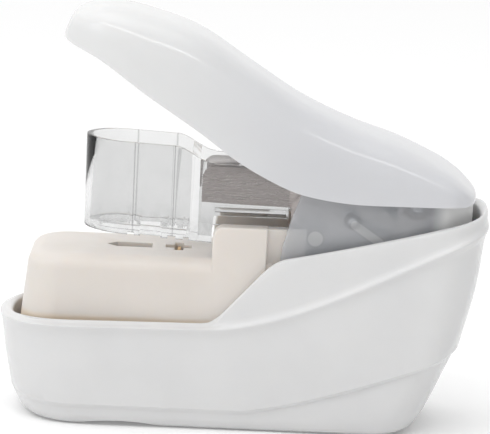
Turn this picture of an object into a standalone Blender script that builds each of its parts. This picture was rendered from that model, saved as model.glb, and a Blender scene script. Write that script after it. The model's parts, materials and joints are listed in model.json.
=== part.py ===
"""A hand-held stapler that fastens paper without staples.

The paper goes in at -X, between a clear guard and a cream table. Pressing the handle turns a
steel arm down, the guard clamps the paper, and the table sinks until two fixed blades cut a
tongue and a slit and a small lever tucks the tongue through. All lengths are in metres, +Z is
up, and the origin is the middle of the footprint of the base.
"""

import math

import bmesh
import bpy
from mathutils import Vector

# Overall sizes
BASE_LENGTH = 0.104
BASE_WIDTH = 0.0368
RIM_WIDTH = 0.0030
FRONT = -BASE_LENGTH / 2
REAR = BASE_LENGTH / 2

# Clearances
GAP = 0.0003
RUNNING = 0.0002
SIDE_PLAY = 0.0008
EAR_PLAY = 0.0010

# Sheet and wall thicknesses
FLOOR_TOP = 0.0034
SKIRT_WALL = 0.0014
COVER_WALL = 0.0015
GUARD_WALL = 0.0012
STEEL = 0.0008
BRACKET_STEEL = 0.0010
TABLE_SKIN = 0.0024

# Half widths, from the outside in
BASE_HALF = BASE_WIDTH / 2
WELL_HALF = BASE_HALF - RIM_WIDTH
TABLE_HALF = WELL_HALF - SIDE_PLAY
SKIRT_HALF = WELL_HALF - SIDE_PLAY
SKIRT_INNER = SKIRT_HALF - SKIRT_WALL
REAR_CHEEK_HALF = SKIRT_INNER - 0.0005
COVER_HALF = BASE_HALF - 0.0012
GUARD_HALF = 0.0093
GUARD_INNER = GUARD_HALF - GUARD_WALL
CHEEK_INNER = GUARD_HALF + 0.0009
ARM_HALF = GUARD_INNER - GAP
ARM_INNER = ARM_HALF - STEEL
TONGUE_HALF = ARM_INNER - 0.0004
EAR_INNER = ARM_HALF + EAR_PLAY
EAR_HALF = EAR_INNER + BRACKET_STEEL
BOSS_INNER = EAR_HALF + 0.0004

# Axles and pins: radius, place (x, z) and reach to each side
AXLE_RADIUS = 0.0015
ARM_AXLE = (REAR - 0.012, 0.033)
HANDLE_AXLE = (REAR - 0.016, 0.04975)
DRIVE_PIN_RADIUS = 0.00075
DRIVE_PIN = (REAR - 0.0295, 0.0459)
BLIND_HOLE_FLOOR = 0.0009
PIN_HALF = SKIRT_HALF - BLIND_HOLE_FLOOR - GAP
CLIP_THICKNESS = 0.0006
CLIP_RADIUS = 0.0028

# Full press of the handle, and how far the arm and the table turn with it. A longer stapler
# turns less, so that its paper end drops as far.
STANDARD_REACH = 0.0872
TABLE_FRONT = FRONT + 0.0048
TURN_SHARE = STANDARD_REACH / (ARM_AXLE[0] - TABLE_FRONT)
HANDLE_TRAVEL = math.radians(28) * TURN_SHARE
ARM_TRAVEL = math.radians(10) * TURN_SHARE
TABLE_TRAVEL = math.radians(7) * TURN_SHARE

# Heights
TABLE_TOP = 0.0363
TABLE_FOOT = 0.0155
CHEEK_TOP = 0.0436
ARM_TOP = 0.0553
BLADE_TIP = 0.0340
SLIT_TIP = TABLE_TOP - 0.0003

# Stations along X
CHEEK_FRONT = REAR - 0.0588
CHEEK_REAR = REAR - 0.04725
RIM_STEP_LOW = REAR - 0.0582
RIM_STEP_HIGH = REAR - 0.0455
GUARD_FRONT = FRONT + 0.0173
GUARD_WALL_REAR = FRONT + 0.0419
GUARD_END = REAR - 0.043
ARM_NOSE = GUARD_WALL_REAR + 0.0005
HANDLE_TIP = FRONT + 0.01195
HANDLE_END = REAR - 0.0032
PUNCH_TIP = FRONT + 0.0234
PUNCH_REAR = FRONT + 0.0316
SLIT_X = FRONT + 0.03795
LEVER_PIN = (FRONT + 0.035, 0.0215)

# Blades, lever and their holder
PUNCH_HALF = 0.0019
PUNCH_STEEL = 0.0006
SLIT_HALF = 0.0036
SLIT_STEEL = 0.0007
SLOT_CLEARANCE = 0.0006
HOLDER_TOP = 0.0190
HOLDER_HALF = 0.0080
LEVER_HALF = 0.0011
SMALL_PIN_RADIUS = 0.0007

# Screws
SCREW_RADIUS = 0.0009
SCREW_HEAD_RADIUS = 0.0018
SCREW_HEAD_HEIGHT = 0.0009

# Springs
TABLE_SPRING_PLACE = (FRONT + 0.0135, 0.0080)
TABLE_SPRING_RADIUS = 0.0025
TABLE_SPRING_TURNS = 7
TORSION_TURNS = 4
WIRE_RADIUS = 0.00035

# The cover under the base
LID_FRONT = REAR - 0.064
LID_REAR = REAR - 0.0225
LID_HALF = 0.0115
LID_THICKNESS = 0.0016

ROUND_SIDES = 20

WHITE = ("white_abs", (0.80, 0.80, 0.80), 0.35, 0.0)
MILKY = ("milky_plastic", (0.78, 0.79, 0.80), 0.30, 0.0)
MILKY_SKIRT = ("milky_frame", (0.55, 0.57, 0.60), 0.40, 0.0)
CREAM = ("cream_plastic", (0.74, 0.68, 0.62), 0.40, 0.0)
CLEAR = ("clear_plastic", (0.85, 0.86, 0.86), 0.08, 0.0)
STEEL_SHEET = ("steel_sheet", (0.50, 0.46, 0.43), 0.25, 1.0)
STEEL_PIN = ("steel_pin", (0.55, 0.55, 0.56), 0.25, 1.0)
SPRING_STEEL = ("spring_steel", (0.42, 0.42, 0.43), 0.30, 1.0)
BLADE_STEEL = ("blade_steel", (0.58, 0.58, 0.60), 0.20, 1.0)
GOLD_STEEL = ("coated_steel", (0.65, 0.38, 0.10), 0.28, 1.0)
GREY = ("grey_plastic", (0.42, 0.42, 0.43), 0.45, 0.0)

PARTS = "stapler"
CUTTERS = "stapler_cutters"


def clear_scene():
    """Remove every object and add the two collections."""
    for item in list(bpy.data.objects):
        bpy.data.objects.remove(item, do_unlink=True)
    for name in (PARTS, CUTTERS):
        bpy.context.scene.collection.children.link(bpy.data.collections.new(name))


def paint(item, finish):
    """Give an object its own Principled material."""
    name, colour, roughness, metallic = finish
    material = bpy.data.materials.new(f"{item.name}_{name}")
    material.use_nodes = True
    shader = material.node_tree.nodes["Principled BSDF"]
    shader.inputs["Base Color"].default_value = (*colour, 1.0)
    shader.inputs["Roughness"].default_value = roughness
    shader.inputs["Metallic"].default_value = metallic
    item.data.materials.clear()
    item.data.materials.append(material)


def add(name, mesh, finish=None):
    """Add a mesh as a part, or as a hidden cutter when it has no finish."""
    item = bpy.data.objects.new(name, mesh)
    bpy.data.collections[PARTS if finish else CUTTERS].objects.link(item)
    if finish:
        mesh.shade_smooth()
        mesh.set_sharp_from_angle(angle=math.radians(35))
        paint(item, finish)
    else:
        item.hide_render = True
        item.display_type = "WIRE"
    return item


def combine(item, other, operation="DIFFERENCE"):
    """Cut, join or intersect an object with a hidden one."""
    step = item.modifiers.new(other.name, "BOOLEAN")
    step.operation = operation
    step.object = other
    step.solver = "EXACT"
    return item


def join(item, other):
    """Join a hidden solid to a part."""
    return combine(item, other, "UNION")


def loft(name, rings, finish=None):
    """Close a stack of equally long rings into one solid with flat ends."""
    shape = bmesh.new()
    rows = [[shape.verts.new(point) for point in ring] for ring in rings]
    for low, high in zip(rows, rows[1:]):
        for i in range(len(low)):
            j = (i + 1) % len(low)
            shape.faces.new((low[i], low[j], high[j], high[i]))
    shape.faces.new(list(reversed(rows[0])))
    shape.faces.new(rows[-1])
    shape.normal_update()
    bmesh.ops.recalc_face_normals(shape, faces=shape.faces)
    mesh = bpy.data.meshes.new(name)
    shape.to_mesh(mesh)
    shape.free()
    return add(name, mesh, finish)


def slab(name, outlines, low, high, side="Y", finish=None):
    """Extrude flat outlines (the first is the outside, the rest are holes).

    Side "Y" draws in XZ and spans low to high in Y; side "Z" draws in XY and spans Z;
    side "X" draws in YZ and spans X.
    """
    curve = bpy.data.curves.new(name, "CURVE")
    curve.dimensions = "2D"
    curve.fill_mode = "BOTH"
    curve.extrude = (high - low) / 2
    for outline in outlines:
        spline = curve.splines.new("POLY")
        spline.points.add(len(outline) - 1)
        for point, (u, v) in zip(spline.points, outline):
            point.co = (u, v, 0, 1)
        spline.use_cyclic_u = True
    flat = bpy.data.objects.new(name, curve)
    bpy.data.collections[CUTTERS].objects.link(flat)
    middle = (low + high) / 2
    if side == "Y":
        flat.location = (0, middle, 0)
        flat.rotation_euler = (math.pi / 2, 0, 0)
    elif side == "X":
        flat.location = (middle, 0, 0)
        flat.rotation_euler = (math.pi / 2, 0, math.pi / 2)
    else:
        flat.location = (0, 0, middle)
    return solidify_curve(flat, name, finish)


def solidify_curve(flat, name, finish):
    """Turn a curve object into a welded mesh object in world space."""
    bpy.context.view_layer.update()
    graph = bpy.context.evaluated_depsgraph_get()
    mesh = bpy.data.meshes.new_from_object(flat.evaluated_get(graph))
    shape = bmesh.new()
    shape.from_mesh(mesh)
    bmesh.ops.remove_doubles(shape, verts=shape.verts, dist=0.000001)
    bmesh.ops.transform(shape, matrix=flat.matrix_world, verts=shape.verts)
    shape.normal_update()
    bmesh.ops.recalc_face_normals(shape, faces=shape.faces)
    shape.to_mesh(mesh)
    shape.free()
    mesh.name = name
    bpy.data.objects.remove(flat, do_unlink=True)
    return add(name, mesh, finish)


def rod(name, centre, radius, low, high, axis="Y", finish=None, sides=ROUND_SIDES, tip=None):
    """A round bar along Y at (x, z), or along Z at (x, y); tip narrows its high end."""
    shape = bmesh.new()
    bmesh.ops.create_cone(
        shape, cap_ends=True, segments=sides, radius1=radius,
        radius2=radius if tip is None else tip, depth=high - low,
    )
    for vert in shape.verts:
        u, v, w = vert.co
        w += (low + high) / 2
        if axis == "Y":
            vert.co = (centre[0] + u, w, centre[1] + v)
        else:
            vert.co = (centre[0] + u, centre[1] + v, w)
    shape.normal_update()
    bmesh.ops.recalc_face_normals(shape, faces=shape.faces)
    mesh = bpy.data.meshes.new(name)
    shape.to_mesh(mesh)
    shape.free()
    return add(name, mesh, finish)


def box(name, low, high, finish=None):
    """A plain block between two corners."""
    shape = bmesh.new()
    bmesh.ops.create_cube(shape, size=1)
    for vert in shape.verts:
        vert.co = [a + (b - a) * (c + 0.5) for a, b, c in zip(low, high, vert.co)]
    mesh = bpy.data.meshes.new(name)
    shape.to_mesh(mesh)
    shape.free()
    return add(name, mesh, finish)


def wire(name, points, radius, finish):
    """A round wire through a list of points."""
    curve = bpy.data.curves.new(name, "CURVE")
    curve.dimensions = "3D"
    curve.bevel_depth = radius
    curve.bevel_resolution = 2
    curve.use_fill_caps = True
    spline = curve.splines.new("POLY")
    spline.points.add(len(points) - 1)
    for point, place in zip(spline.points, points):
        point.co = (*place, 1)
    item = bpy.data.objects.new(name, curve)
    bpy.data.collections[CUTTERS].objects.link(item)
    return solidify_curve(item, name, finish)


def arc(centre, radius, start, end, steps):
    """Points of an arc, angles in degrees, counted from +u towards +v."""
    angles = [math.radians(start + (end - start) * i / steps) for i in range(steps + 1)]
    return [(centre[0] + radius * math.cos(a), centre[1] + radius * math.sin(a)) for a in angles]


def rounded(corners, steps=5):
    """An outline whose corners (u, v, radius) are turned into arcs."""
    points = []
    for i, (u, v, radius) in enumerate(corners):
        here = Vector((u, v))
        before = (Vector(corners[i - 1][:2]) - here).normalized()
        after = (Vector(corners[(i + 1) % len(corners)][:2]) - here).normalized()
        if radius == 0:
            points.append((u, v))
            continue
        half = before.angle(after) / 2
        centre = here + (before + after).normalized() * (radius / math.sin(half))
        first = here + before * (radius / math.tan(half)) - centre
        last = here + after * (radius / math.tan(half)) - centre
        sweep = first.angle(last)
        for k in range(steps + 1):
            a = sweep * k / steps
            ratio = math.sin(sweep)
            place = centre + (first * math.sin(sweep - a) + last * math.sin(a)) / ratio
            points.append((place.x, place.y))
    return points


def plan(x_low, x_high, half, radius):
    """A rectangle with round corners, seen from above."""
    return rounded([(x_low, -half, radius), (x_high, -half, radius),
                    (x_high, half, radius), (x_low, half, radius)])


def turn(point, pivot, angle):
    """Turn (x, z) about a pivot, positive with the front going down."""
    u, v = point[0] - pivot[0], point[1] - pivot[1]
    return (pivot[0] + u * math.cos(angle) - v * math.sin(angle),
            pivot[1] + u * math.sin(angle) + v * math.cos(angle))


def blend(a, b, t):
    """A value between a and b."""
    return a + (b - a) * t


# Base shell

RIM_FRONT = 0.0231
RIM_STEP_TOP = 0.0372
HULL_NOSE = 0.018
HULL_TAIL = 0.012
SIDE_STATIONS = 24


def rim_height(x):
    """Top of the base's wall: low at the paper end, a step, then a long rise to the hinge."""
    if x <= RIM_STEP_LOW:
        return RIM_FRONT - 0.0008 * (RIM_STEP_LOW - x) / (RIM_STEP_LOW - FRONT)
    if x <= RIM_STEP_HIGH:
        return blend(RIM_FRONT, RIM_STEP_TOP, (x - RIM_STEP_LOW) / (RIM_STEP_HIGH - RIM_STEP_LOW))
    run = x - RIM_STEP_HIGH
    return RIM_STEP_TOP + 0.2 * run + 1.0 * run ** 2


def upper_crease(x):
    """The ridge that leaves the low rim and sweeps up to the back."""
    low = rim_height(x) - 0.0009
    if x <= RIM_STEP_LOW:
        return low
    t = (x - RIM_STEP_LOW) / (REAR - RIM_STEP_LOW)
    rise = 1.25 * t ** 1.6 - 0.25 * t ** 4
    return blend(RIM_FRONT - 0.0009, 0.0448, rise)


def lower_crease(x):
    """The shallow step in the side, near the foot in front and higher at the back."""
    rise = 0.014 * max(0.0, x / (REAR - 0.0055)) ** 1.35
    lift = 0.0012 * max(0.0, (FRONT + 0.012 - x) / 0.012)
    return 0.0045 + rise + lift


def hull_ring(front, rear, half, nose, tail, height):
    """One closed ring of the base; height is a function of x, or a number."""
    side = []
    for k in range(8):
        t = math.radians(90 * k / 8)
        side.append((FRONT + front + nose * (1 - math.cos(t) ** (2 / 2.4)),
                     half * math.sin(t) ** (2 / 2.4)))
    start, end = FRONT + front + nose, REAR - rear - tail
    for k in range(SIDE_STATIONS + 1):
        side.append((blend(start, end, k / SIDE_STATIONS), half))
    for k in range(1, 8):
        t = math.radians(90 * k / 7)
        side.append((REAR - rear - tail * (1 - abs(math.sin(t)) ** (2 / 2.8)),
                     half * abs(math.cos(t)) ** (2 / 2.8)))
    side[-1] = (REAR - rear, 0.0)
    ring = side + [(x, -y) for x, y in reversed(side[1:-1])]
    return [(x, y, height(x) if callable(height) else height) for x, y in ring]


def base_shell():
    """The white lower casing: a boat-shaped hull with a well for the mechanism."""
    def rim(drop):
        return lambda x: rim_height(x) - drop

    def crease(drop):
        return lambda x: upper_crease(x) - drop

    def belt(lift):
        return lambda x: lower_crease(x) + lift

    def middle(x):
        return blend(lower_crease(x), upper_crease(x), 0.5)

    outer = [
        (0.0090, 0.0185, 0.0042, 0.010, 0.008, 0.0),
        (0.0067, 0.0160, 0.0028, 0.012, 0.009, 0.0005),
        (0.0051, 0.0137, 0.0016, 0.014, 0.010, 0.0019),
        (0.0034, 0.0060, 0.0011, 0.016, 0.011, belt(-0.0004)),
        (0.0028, 0.0051, 0.0006, 0.016, 0.011, belt(0.0004)),
        (0.0011, 0.0018, 0.0003, 0.017, 0.012, middle),
        (0.0001, 0.0002, 0.0, HULL_NOSE, HULL_TAIL, crease(0.0009)),
        (0.0, 0.0, 0.0, HULL_NOSE, HULL_TAIL, crease(0.0)),
        (0.0005, 0.0002, 0.0004, HULL_NOSE, HULL_TAIL, rim(0.0004)),
        (0.0013, 0.0006, 0.0010, HULL_NOSE, HULL_TAIL, rim(0.0)),
    ]
    inner = [
        (0.0022, 0.0014, -0.0006, 0.012, 0.0085, rim(0.0)),
        (0.0028, 0.0020, -0.0001, 0.010, 0.0070, rim(0.0006)),
        (0.0029, 0.0022, 0.0, 0.010, 0.0070, rim(0.0018)),
        (0.0033, 0.0028, 0.0, 0.010, 0.0070, middle),
        (0.0054, 0.0080, 0.0, 0.009, 0.009, belt(0.0012)),
        (0.0072, 0.0156, 0.0006, 0.008, 0.008, FLOOR_TOP),
    ]
    rings = [hull_ring(a, b, BASE_HALF - c, d, e, h) for a, b, c, d, e, h in outer]
    rings += [hull_ring(a, b, WELL_HALF - c, d, e, h) for a, b, c, d, e, h in inner]
    shell = loft("base_shell", rings, WHITE)

    chord, sag = 0.0205, 0.0012
    radius = (chord ** 2 / 4 + sag ** 2) / (2 * sag)
    arch = (FRONT + 0.02675, sag - radius)
    combine(shell, rod("finger_arch", arch, radius, -BASE_WIDTH, BASE_WIDTH, sides=240))

    lid_recess = plan(LID_FRONT - GAP, LID_REAR + GAP, LID_HALF + GAP, 0.002 + GAP)
    combine(shell, slab("lid_recess", [lid_recess], -0.001, LID_THICKNESS + GAP, "Z"))
    window = plan(LID_FRONT + 0.002, REAR - 0.040, LID_HALF - 0.003, 0.0015)
    combine(shell, slab("floor_window", [window], 0.0, FLOOR_TOP + 0.001, "Z"))
    for i, (x, y) in enumerate(lid_screw_places()):
        combine(shell, rod(f"lid_thread_{i}", (x, y), SCREW_RADIUS + GAP, 0.0, 0.006, "Z"))
    for i, (x, y) in enumerate(bracket_screw_places() + holder_screw_places()):
        combine(shell, rod(f"floor_thread_{i}", (x, y), SCREW_RADIUS + GAP,
                           LID_THICKNESS + GAP + 0.0003, 0.006, "Z"))
    for i, y in enumerate((-TABLE_SPRING_PLACE[1], TABLE_SPRING_PLACE[1])):
        post = rod(f"spring_post_{i}", (TABLE_SPRING_PLACE[0], y), 0.0016, FLOOR_TOP - 0.001,
                   0.0075, "Z", sides=16, tip=0.0012)
        join(shell, post)


def lid_screw_places():
    """The four corners of the lid."""
    y = LID_HALF - 0.0022
    return [(x, side * y) for x in (LID_FRONT + 0.0022, LID_REAR - 0.0022) for side in (-1, 1)]


def bracket_screw_places():
    """The two screws that hold the hinge bracket."""
    return [(REAR - 0.0325, -0.0045), (REAR - 0.0325, 0.0045)]


def holder_screw_places():
    """The two screws that hold the blade holder."""
    return [(FRONT + 0.0190, -0.0050), (FRONT + 0.0190, 0.0050)]


def screw(name, place, head_low, head_high, tip):
    """A pan screw along Z; the shank runs from the head to tip, up or down."""
    x, y = place
    upward = tip > head_high
    head = rod(name, (x, y), SCREW_HEAD_RADIUS, head_low, head_high, "Z", STEEL_PIN, sides=20)
    inside = blend(head_low, head_high, 0.5)
    low, high = (inside, tip) if upward else (tip, inside)
    join(head, rod(f"{name}_shank", (x, y), SCREW_RADIUS, low, high, "Z", sides=16))
    face = head_low if upward else head_high
    for k, half in enumerate(((0.0011, 0.00025), (0.00025, 0.0011))):
        combine(head, box(f"{name}_drive_{k}", (x - half[0], y - half[1], face - 0.0004),
                          (x + half[0], y + half[1], face + 0.0004)))


def bottom_lid():
    """The plate that closes the base from below, with its four screws."""
    outline = plan(LID_FRONT, LID_REAR, LID_HALF, 0.002)
    lid = slab("bottom_lid", [outline], 0.0002, LID_THICKNESS, "Z", WHITE)
    for i, place in enumerate(lid_screw_places()):
        combine(lid, rod(f"lid_hole_{i}", place, SCREW_RADIUS + GAP, -0.001, 0.003, "Z"))
        combine(lid, rod(f"lid_seat_{i}", place, SCREW_HEAD_RADIUS + GAP, -0.001,
                         SCREW_HEAD_HEIGHT + 2 * GAP, "Z"))
        screw(f"lid_screw_{i + 1}", place, GAP, GAP + SCREW_HEAD_HEIGHT, FLOOR_TOP - 0.0002)
    for i in range(5):
        x = blend(LID_FRONT, LID_REAR, 0.30 + 0.10 * i)
        combine(lid, box(f"lid_groove_{i}", (x - 0.0006, -0.006, -0.001), (x + 0.0006, 0.006, 0.0006)))


# Hinge bracket and axles

def hinge_bracket():
    """The folded steel bracket that carries both axles, with its two screws."""
    foot = FLOOR_TOP + GAP
    arm_x, arm_z = ARM_AXLE
    top_x, top_z = HANDLE_AXLE
    outline = [(REAR - 0.038, foot), (REAR - 0.0190, foot), (REAR - 0.0150, 0.012)]
    outline += [(arm_x + 0.0038, arm_z - 0.003), (arm_x + 0.0043, arm_z + 0.003)]
    outline += arc((top_x, top_z), 0.0036, 0, 180, 10)
    outline += [(arm_x - 0.010, arm_z), (REAR - 0.038, foot + 0.0025)]
    bracket = slab("hinge_bracket", [outline], -EAR_HALF, EAR_HALF, finish=STEEL_SHEET)
    plate_top = foot + BRACKET_STEEL
    combine(bracket, box("bracket_inside", (REAR - 0.045, -EAR_INNER, plate_top),
                         (REAR + 0.005, EAR_INNER, top_z + 0.010)))
    for name, place in (("arm", ARM_AXLE), ("handle", HANDLE_AXLE)):
        combine(bracket, rod(f"bracket_{name}_hole", place, AXLE_RADIUS + RUNNING,
                             -BASE_HALF, BASE_HALF))
    for i, place in enumerate(bracket_screw_places()):
        combine(bracket, rod(f"bracket_screw_hole_{i}", place, SCREW_RADIUS + GAP,
                             foot - 0.001, plate_top + 0.001, "Z"))
        screw(f"bracket_screw_{i + 1}", place, plate_top + GAP,
              plate_top + GAP + SCREW_HEAD_HEIGHT, LID_THICKNESS + 2 * GAP + 0.0003)


def axles():
    """The two hinge axles, and the spring clips of the lower one."""
    reach = EAR_HALF + RUNNING + CLIP_THICKNESS + 0.0005
    rod("arm_axle", ARM_AXLE, AXLE_RADIUS, -reach, reach, finish=STEEL_PIN)
    rod("handle_axle", HANDLE_AXLE, AXLE_RADIUS, -PIN_HALF, PIN_HALF, finish=STEEL_PIN)
    inner, outer = AXLE_RADIUS + RUNNING, CLIP_RADIUS
    outline = arc(ARM_AXLE, outer, -60, 240, 22) + arc(ARM_AXLE, inner, 240, -60, 22)
    low = EAR_HALF + RUNNING
    slab("axle_clip_left", [outline], low, low + CLIP_THICKNESS, finish=SPRING_STEEL)
    slab("axle_clip_right", [outline], -low - CLIP_THICKNESS, -low, finish=SPRING_STEEL)


# Blades

def punch_outline(grow, front_grow):
    """The arrow-ended outline of the punched tongue, made larger by grow."""
    return [(PUNCH_TIP - front_grow, 0.0), (PUNCH_TIP + 0.0018 - grow, -PUNCH_HALF - grow),
            (PUNCH_REAR + grow, -PUNCH_HALF - grow), (PUNCH_REAR + grow, PUNCH_HALF + grow),
            (PUNCH_TIP + 0.0018 - grow, PUNCH_HALF + grow)]


def blades():
    """The tongue punch, the slit blade with its eye, and their cross pins."""
    foot = 0.0080
    outside = punch_outline(0.0, 0.0)
    inside = [(PUNCH_REAR, PUNCH_HALF - PUNCH_STEEL),
              (PUNCH_TIP + 0.0021, PUNCH_HALF - PUNCH_STEEL), (PUNCH_TIP + 0.0009, 0.0),
              (PUNCH_TIP + 0.0021, PUNCH_STEEL - PUNCH_HALF),
              (PUNCH_REAR, PUNCH_STEEL - PUNCH_HALF)]
    outline = [outside[0], outside[1], outside[2]] + inside[::-1] + [outside[3], outside[4]]
    punch = slab("punch_blade", [outline], foot, BLADE_TIP, "Z", BLADE_STEEL)
    shear = [(PUNCH_TIP - 0.002, BLADE_TIP + 0.001), (PUNCH_TIP - 0.002, BLADE_TIP - 0.0001),
             (PUNCH_REAR + 0.002, BLADE_TIP - 0.0022), (PUNCH_REAR + 0.002, BLADE_TIP + 0.001)]
    combine(punch, slab("punch_shear", [shear], -0.01, 0.01))
    combine(punch, rod("punch_pin_hole", punch_pin_place(), SMALL_PIN_RADIUS + RUNNING,
                       -0.01, 0.01, sides=16))

    top = [(-SLIT_HALF, foot), (SLIT_HALF, foot), (SLIT_HALF, SLIT_TIP - 0.0004),
           (0.0, SLIT_TIP), (-SLIT_HALF, SLIT_TIP - 0.0004)]
    eye = [(-0.0022, 0.0262), (0.0022, 0.0262), (0.0022, 0.0292), (-0.0022, 0.0292)]
    slit = slab("slit_blade", [top, eye], SLIT_X - SLIT_STEEL / 2, SLIT_X + SLIT_STEEL / 2, "X",
                GOLD_STEEL)
    slot = [(-0.0022, 0.0108), (0.0022, 0.0108), (0.0022, 0.0130), (-0.0022, 0.0130)]
    combine(slit, slab("slit_blade_slot", [slot], SLIT_X - 0.002, SLIT_X + 0.002, "X"))
    reach = HOLDER_HALF - 0.0002
    rod("punch_pin", punch_pin_place(), SMALL_PIN_RADIUS, -reach, reach, finish=STEEL_PIN, sides=16)


def punch_pin_place():
    """Where the cross pin holds the punch blade."""
    return (blend(PUNCH_TIP, PUNCH_REAR, 0.6), 0.0125)


def blade_holder():
    """The grey block that holds the blades and the tucking lever, with its two screws."""
    foot = FLOOR_TOP + GAP
    front, rear = PUNCH_TIP - 0.0022, SLIT_X + 0.0022
    lip = holder_screw_places()[0][0] - SCREW_HEAD_RADIUS - 0.0001
    flange = 0.0024
    outline = [(lip, foot), (rear, foot), (rear, HOLDER_TOP),
               (SLIT_X - SLIT_STEEL, HOLDER_TOP), (SLIT_X - SLIT_STEEL, 0.0235),
               (LEVER_PIN[0] - 0.0022, 0.0235), (LEVER_PIN[0] - 0.0022, HOLDER_TOP),
               (front, HOLDER_TOP), (front, foot + flange), (lip, foot + flange)]
    holder = slab("blade_holder", [outline], -HOLDER_HALF, HOLDER_HALF, finish=GREY)
    pocket = punch_outline(GAP, GAP)
    combine(holder, slab("punch_pocket", [pocket], 0.0077, 0.03, "Z"))
    slit_pocket = [(SLIT_X - SLIT_STEEL / 2 - GAP, -SLIT_HALF - GAP),
                   (SLIT_X + SLIT_STEEL / 2 + GAP, -SLIT_HALF - GAP),
                   (SLIT_X + SLIT_STEEL / 2 + GAP, SLIT_HALF + GAP),
                   (SLIT_X - SLIT_STEEL / 2 - GAP, SLIT_HALF + GAP)]
    combine(holder, slab("slit_pocket", [slit_pocket], 0.0077, 0.03, "Z"))
    well = LEVER_HALF + GAP
    combine(holder, box("lever_well", (LEVER_PIN[0] - 0.0040, -well, 0.0165),
                        (SLIT_X, well, 0.03)))
    combine(holder, rod("lever_pin_hole", LEVER_PIN, SMALL_PIN_RADIUS + RUNNING, -0.0100, 0.0100,
                        sides=16))
    combine(holder, rod("punch_pin_bore", punch_pin_place(), SMALL_PIN_RADIUS + RUNNING,
                        -0.0100, 0.0100, sides=16))
    for i, side in enumerate((-1, 1)):
        low, high = sorted((side * (LEVER_HALF + 0.0030), side * (HOLDER_HALF + 0.001)))
        combine(holder, box(f"holder_ear_{i}", (LEVER_PIN[0] - 0.003, low, HOLDER_TOP),
                            (SLIT_X + 0.001, high, 0.03)))
    for i, place in enumerate(holder_screw_places()):
        combine(holder, rod(f"holder_hole_{i}", place, SCREW_RADIUS + GAP, 0.0, 0.02, "Z"))
        screw(f"holder_screw_{i + 1}", place, foot + flange + GAP,
              foot + flange + GAP + SCREW_HEAD_HEIGHT, LID_THICKNESS + 2 * GAP + 0.0003)


def tucking_lever():
    """The small lever that pushes the cut tongue through the slit, and its pin."""
    x, z = LEVER_PIN
    rest = -math.radians(20)
    finger = [(-0.0016, 0.0), (-0.0012, 0.0030), (0.0008, 0.0056), (0.0012, 0.0063),
              (0.0020, 0.0060), (0.0018, 0.0048), (0.0013, 0.0010)]
    outline = []
    for u, v in finger:
        outline.append((x + u * math.cos(rest) + v * math.sin(rest),
                        z - u * math.sin(rest) + v * math.cos(rest)))
    outline = outline[::-1]
    outline += arc((x, z), 0.0016, 200, 330, 8)
    lever = slab("tucking_lever", [outline], -LEVER_HALF, LEVER_HALF, finish=BLADE_STEEL)
    combine(lever, rod("lever_bore", LEVER_PIN, SMALL_PIN_RADIUS + RUNNING, -0.01, 0.01, sides=16))
    reach = LEVER_HALF + 0.0028
    rod("lever_pin", LEVER_PIN, SMALL_PIN_RADIUS, -reach, reach, finish=STEEL_PIN, sides=16)


# Paper table

TABLE_FLAT_NOSE = 0.0070
TABLE_CORNER = TABLE_HALF - TABLE_FLAT_NOSE
TABLE_FILLET = 0.0032
PEG_RADIUS = 0.0008
PEG_HOLE_RADIUS = 0.0018
PEG_HOLE = (REAR - 0.0372, 0.0418)


def peg_place():
    """The stop peg starts low in its hole and ends high in it, as the arm sinks further."""
    lift = 0.5 * (ARM_TRAVEL - TABLE_TRAVEL) * (ARM_AXLE[0] - PEG_HOLE[0])
    return (PEG_HOLE[0], PEG_HOLE[1] - lift)


def table_ring(front, half, radius, height):
    """One ring of the table's block: round in front, square at the back."""
    rear = REAR - 0.046
    ring = arc((front + radius, radius - half), radius, 270, 180, 6)
    ring += arc((front + radius, half - radius), radius, 180, 90, 6)
    ring += [(rear, half), (rear, -half)]
    return [(x, y, height) for x, y in ring]


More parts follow.
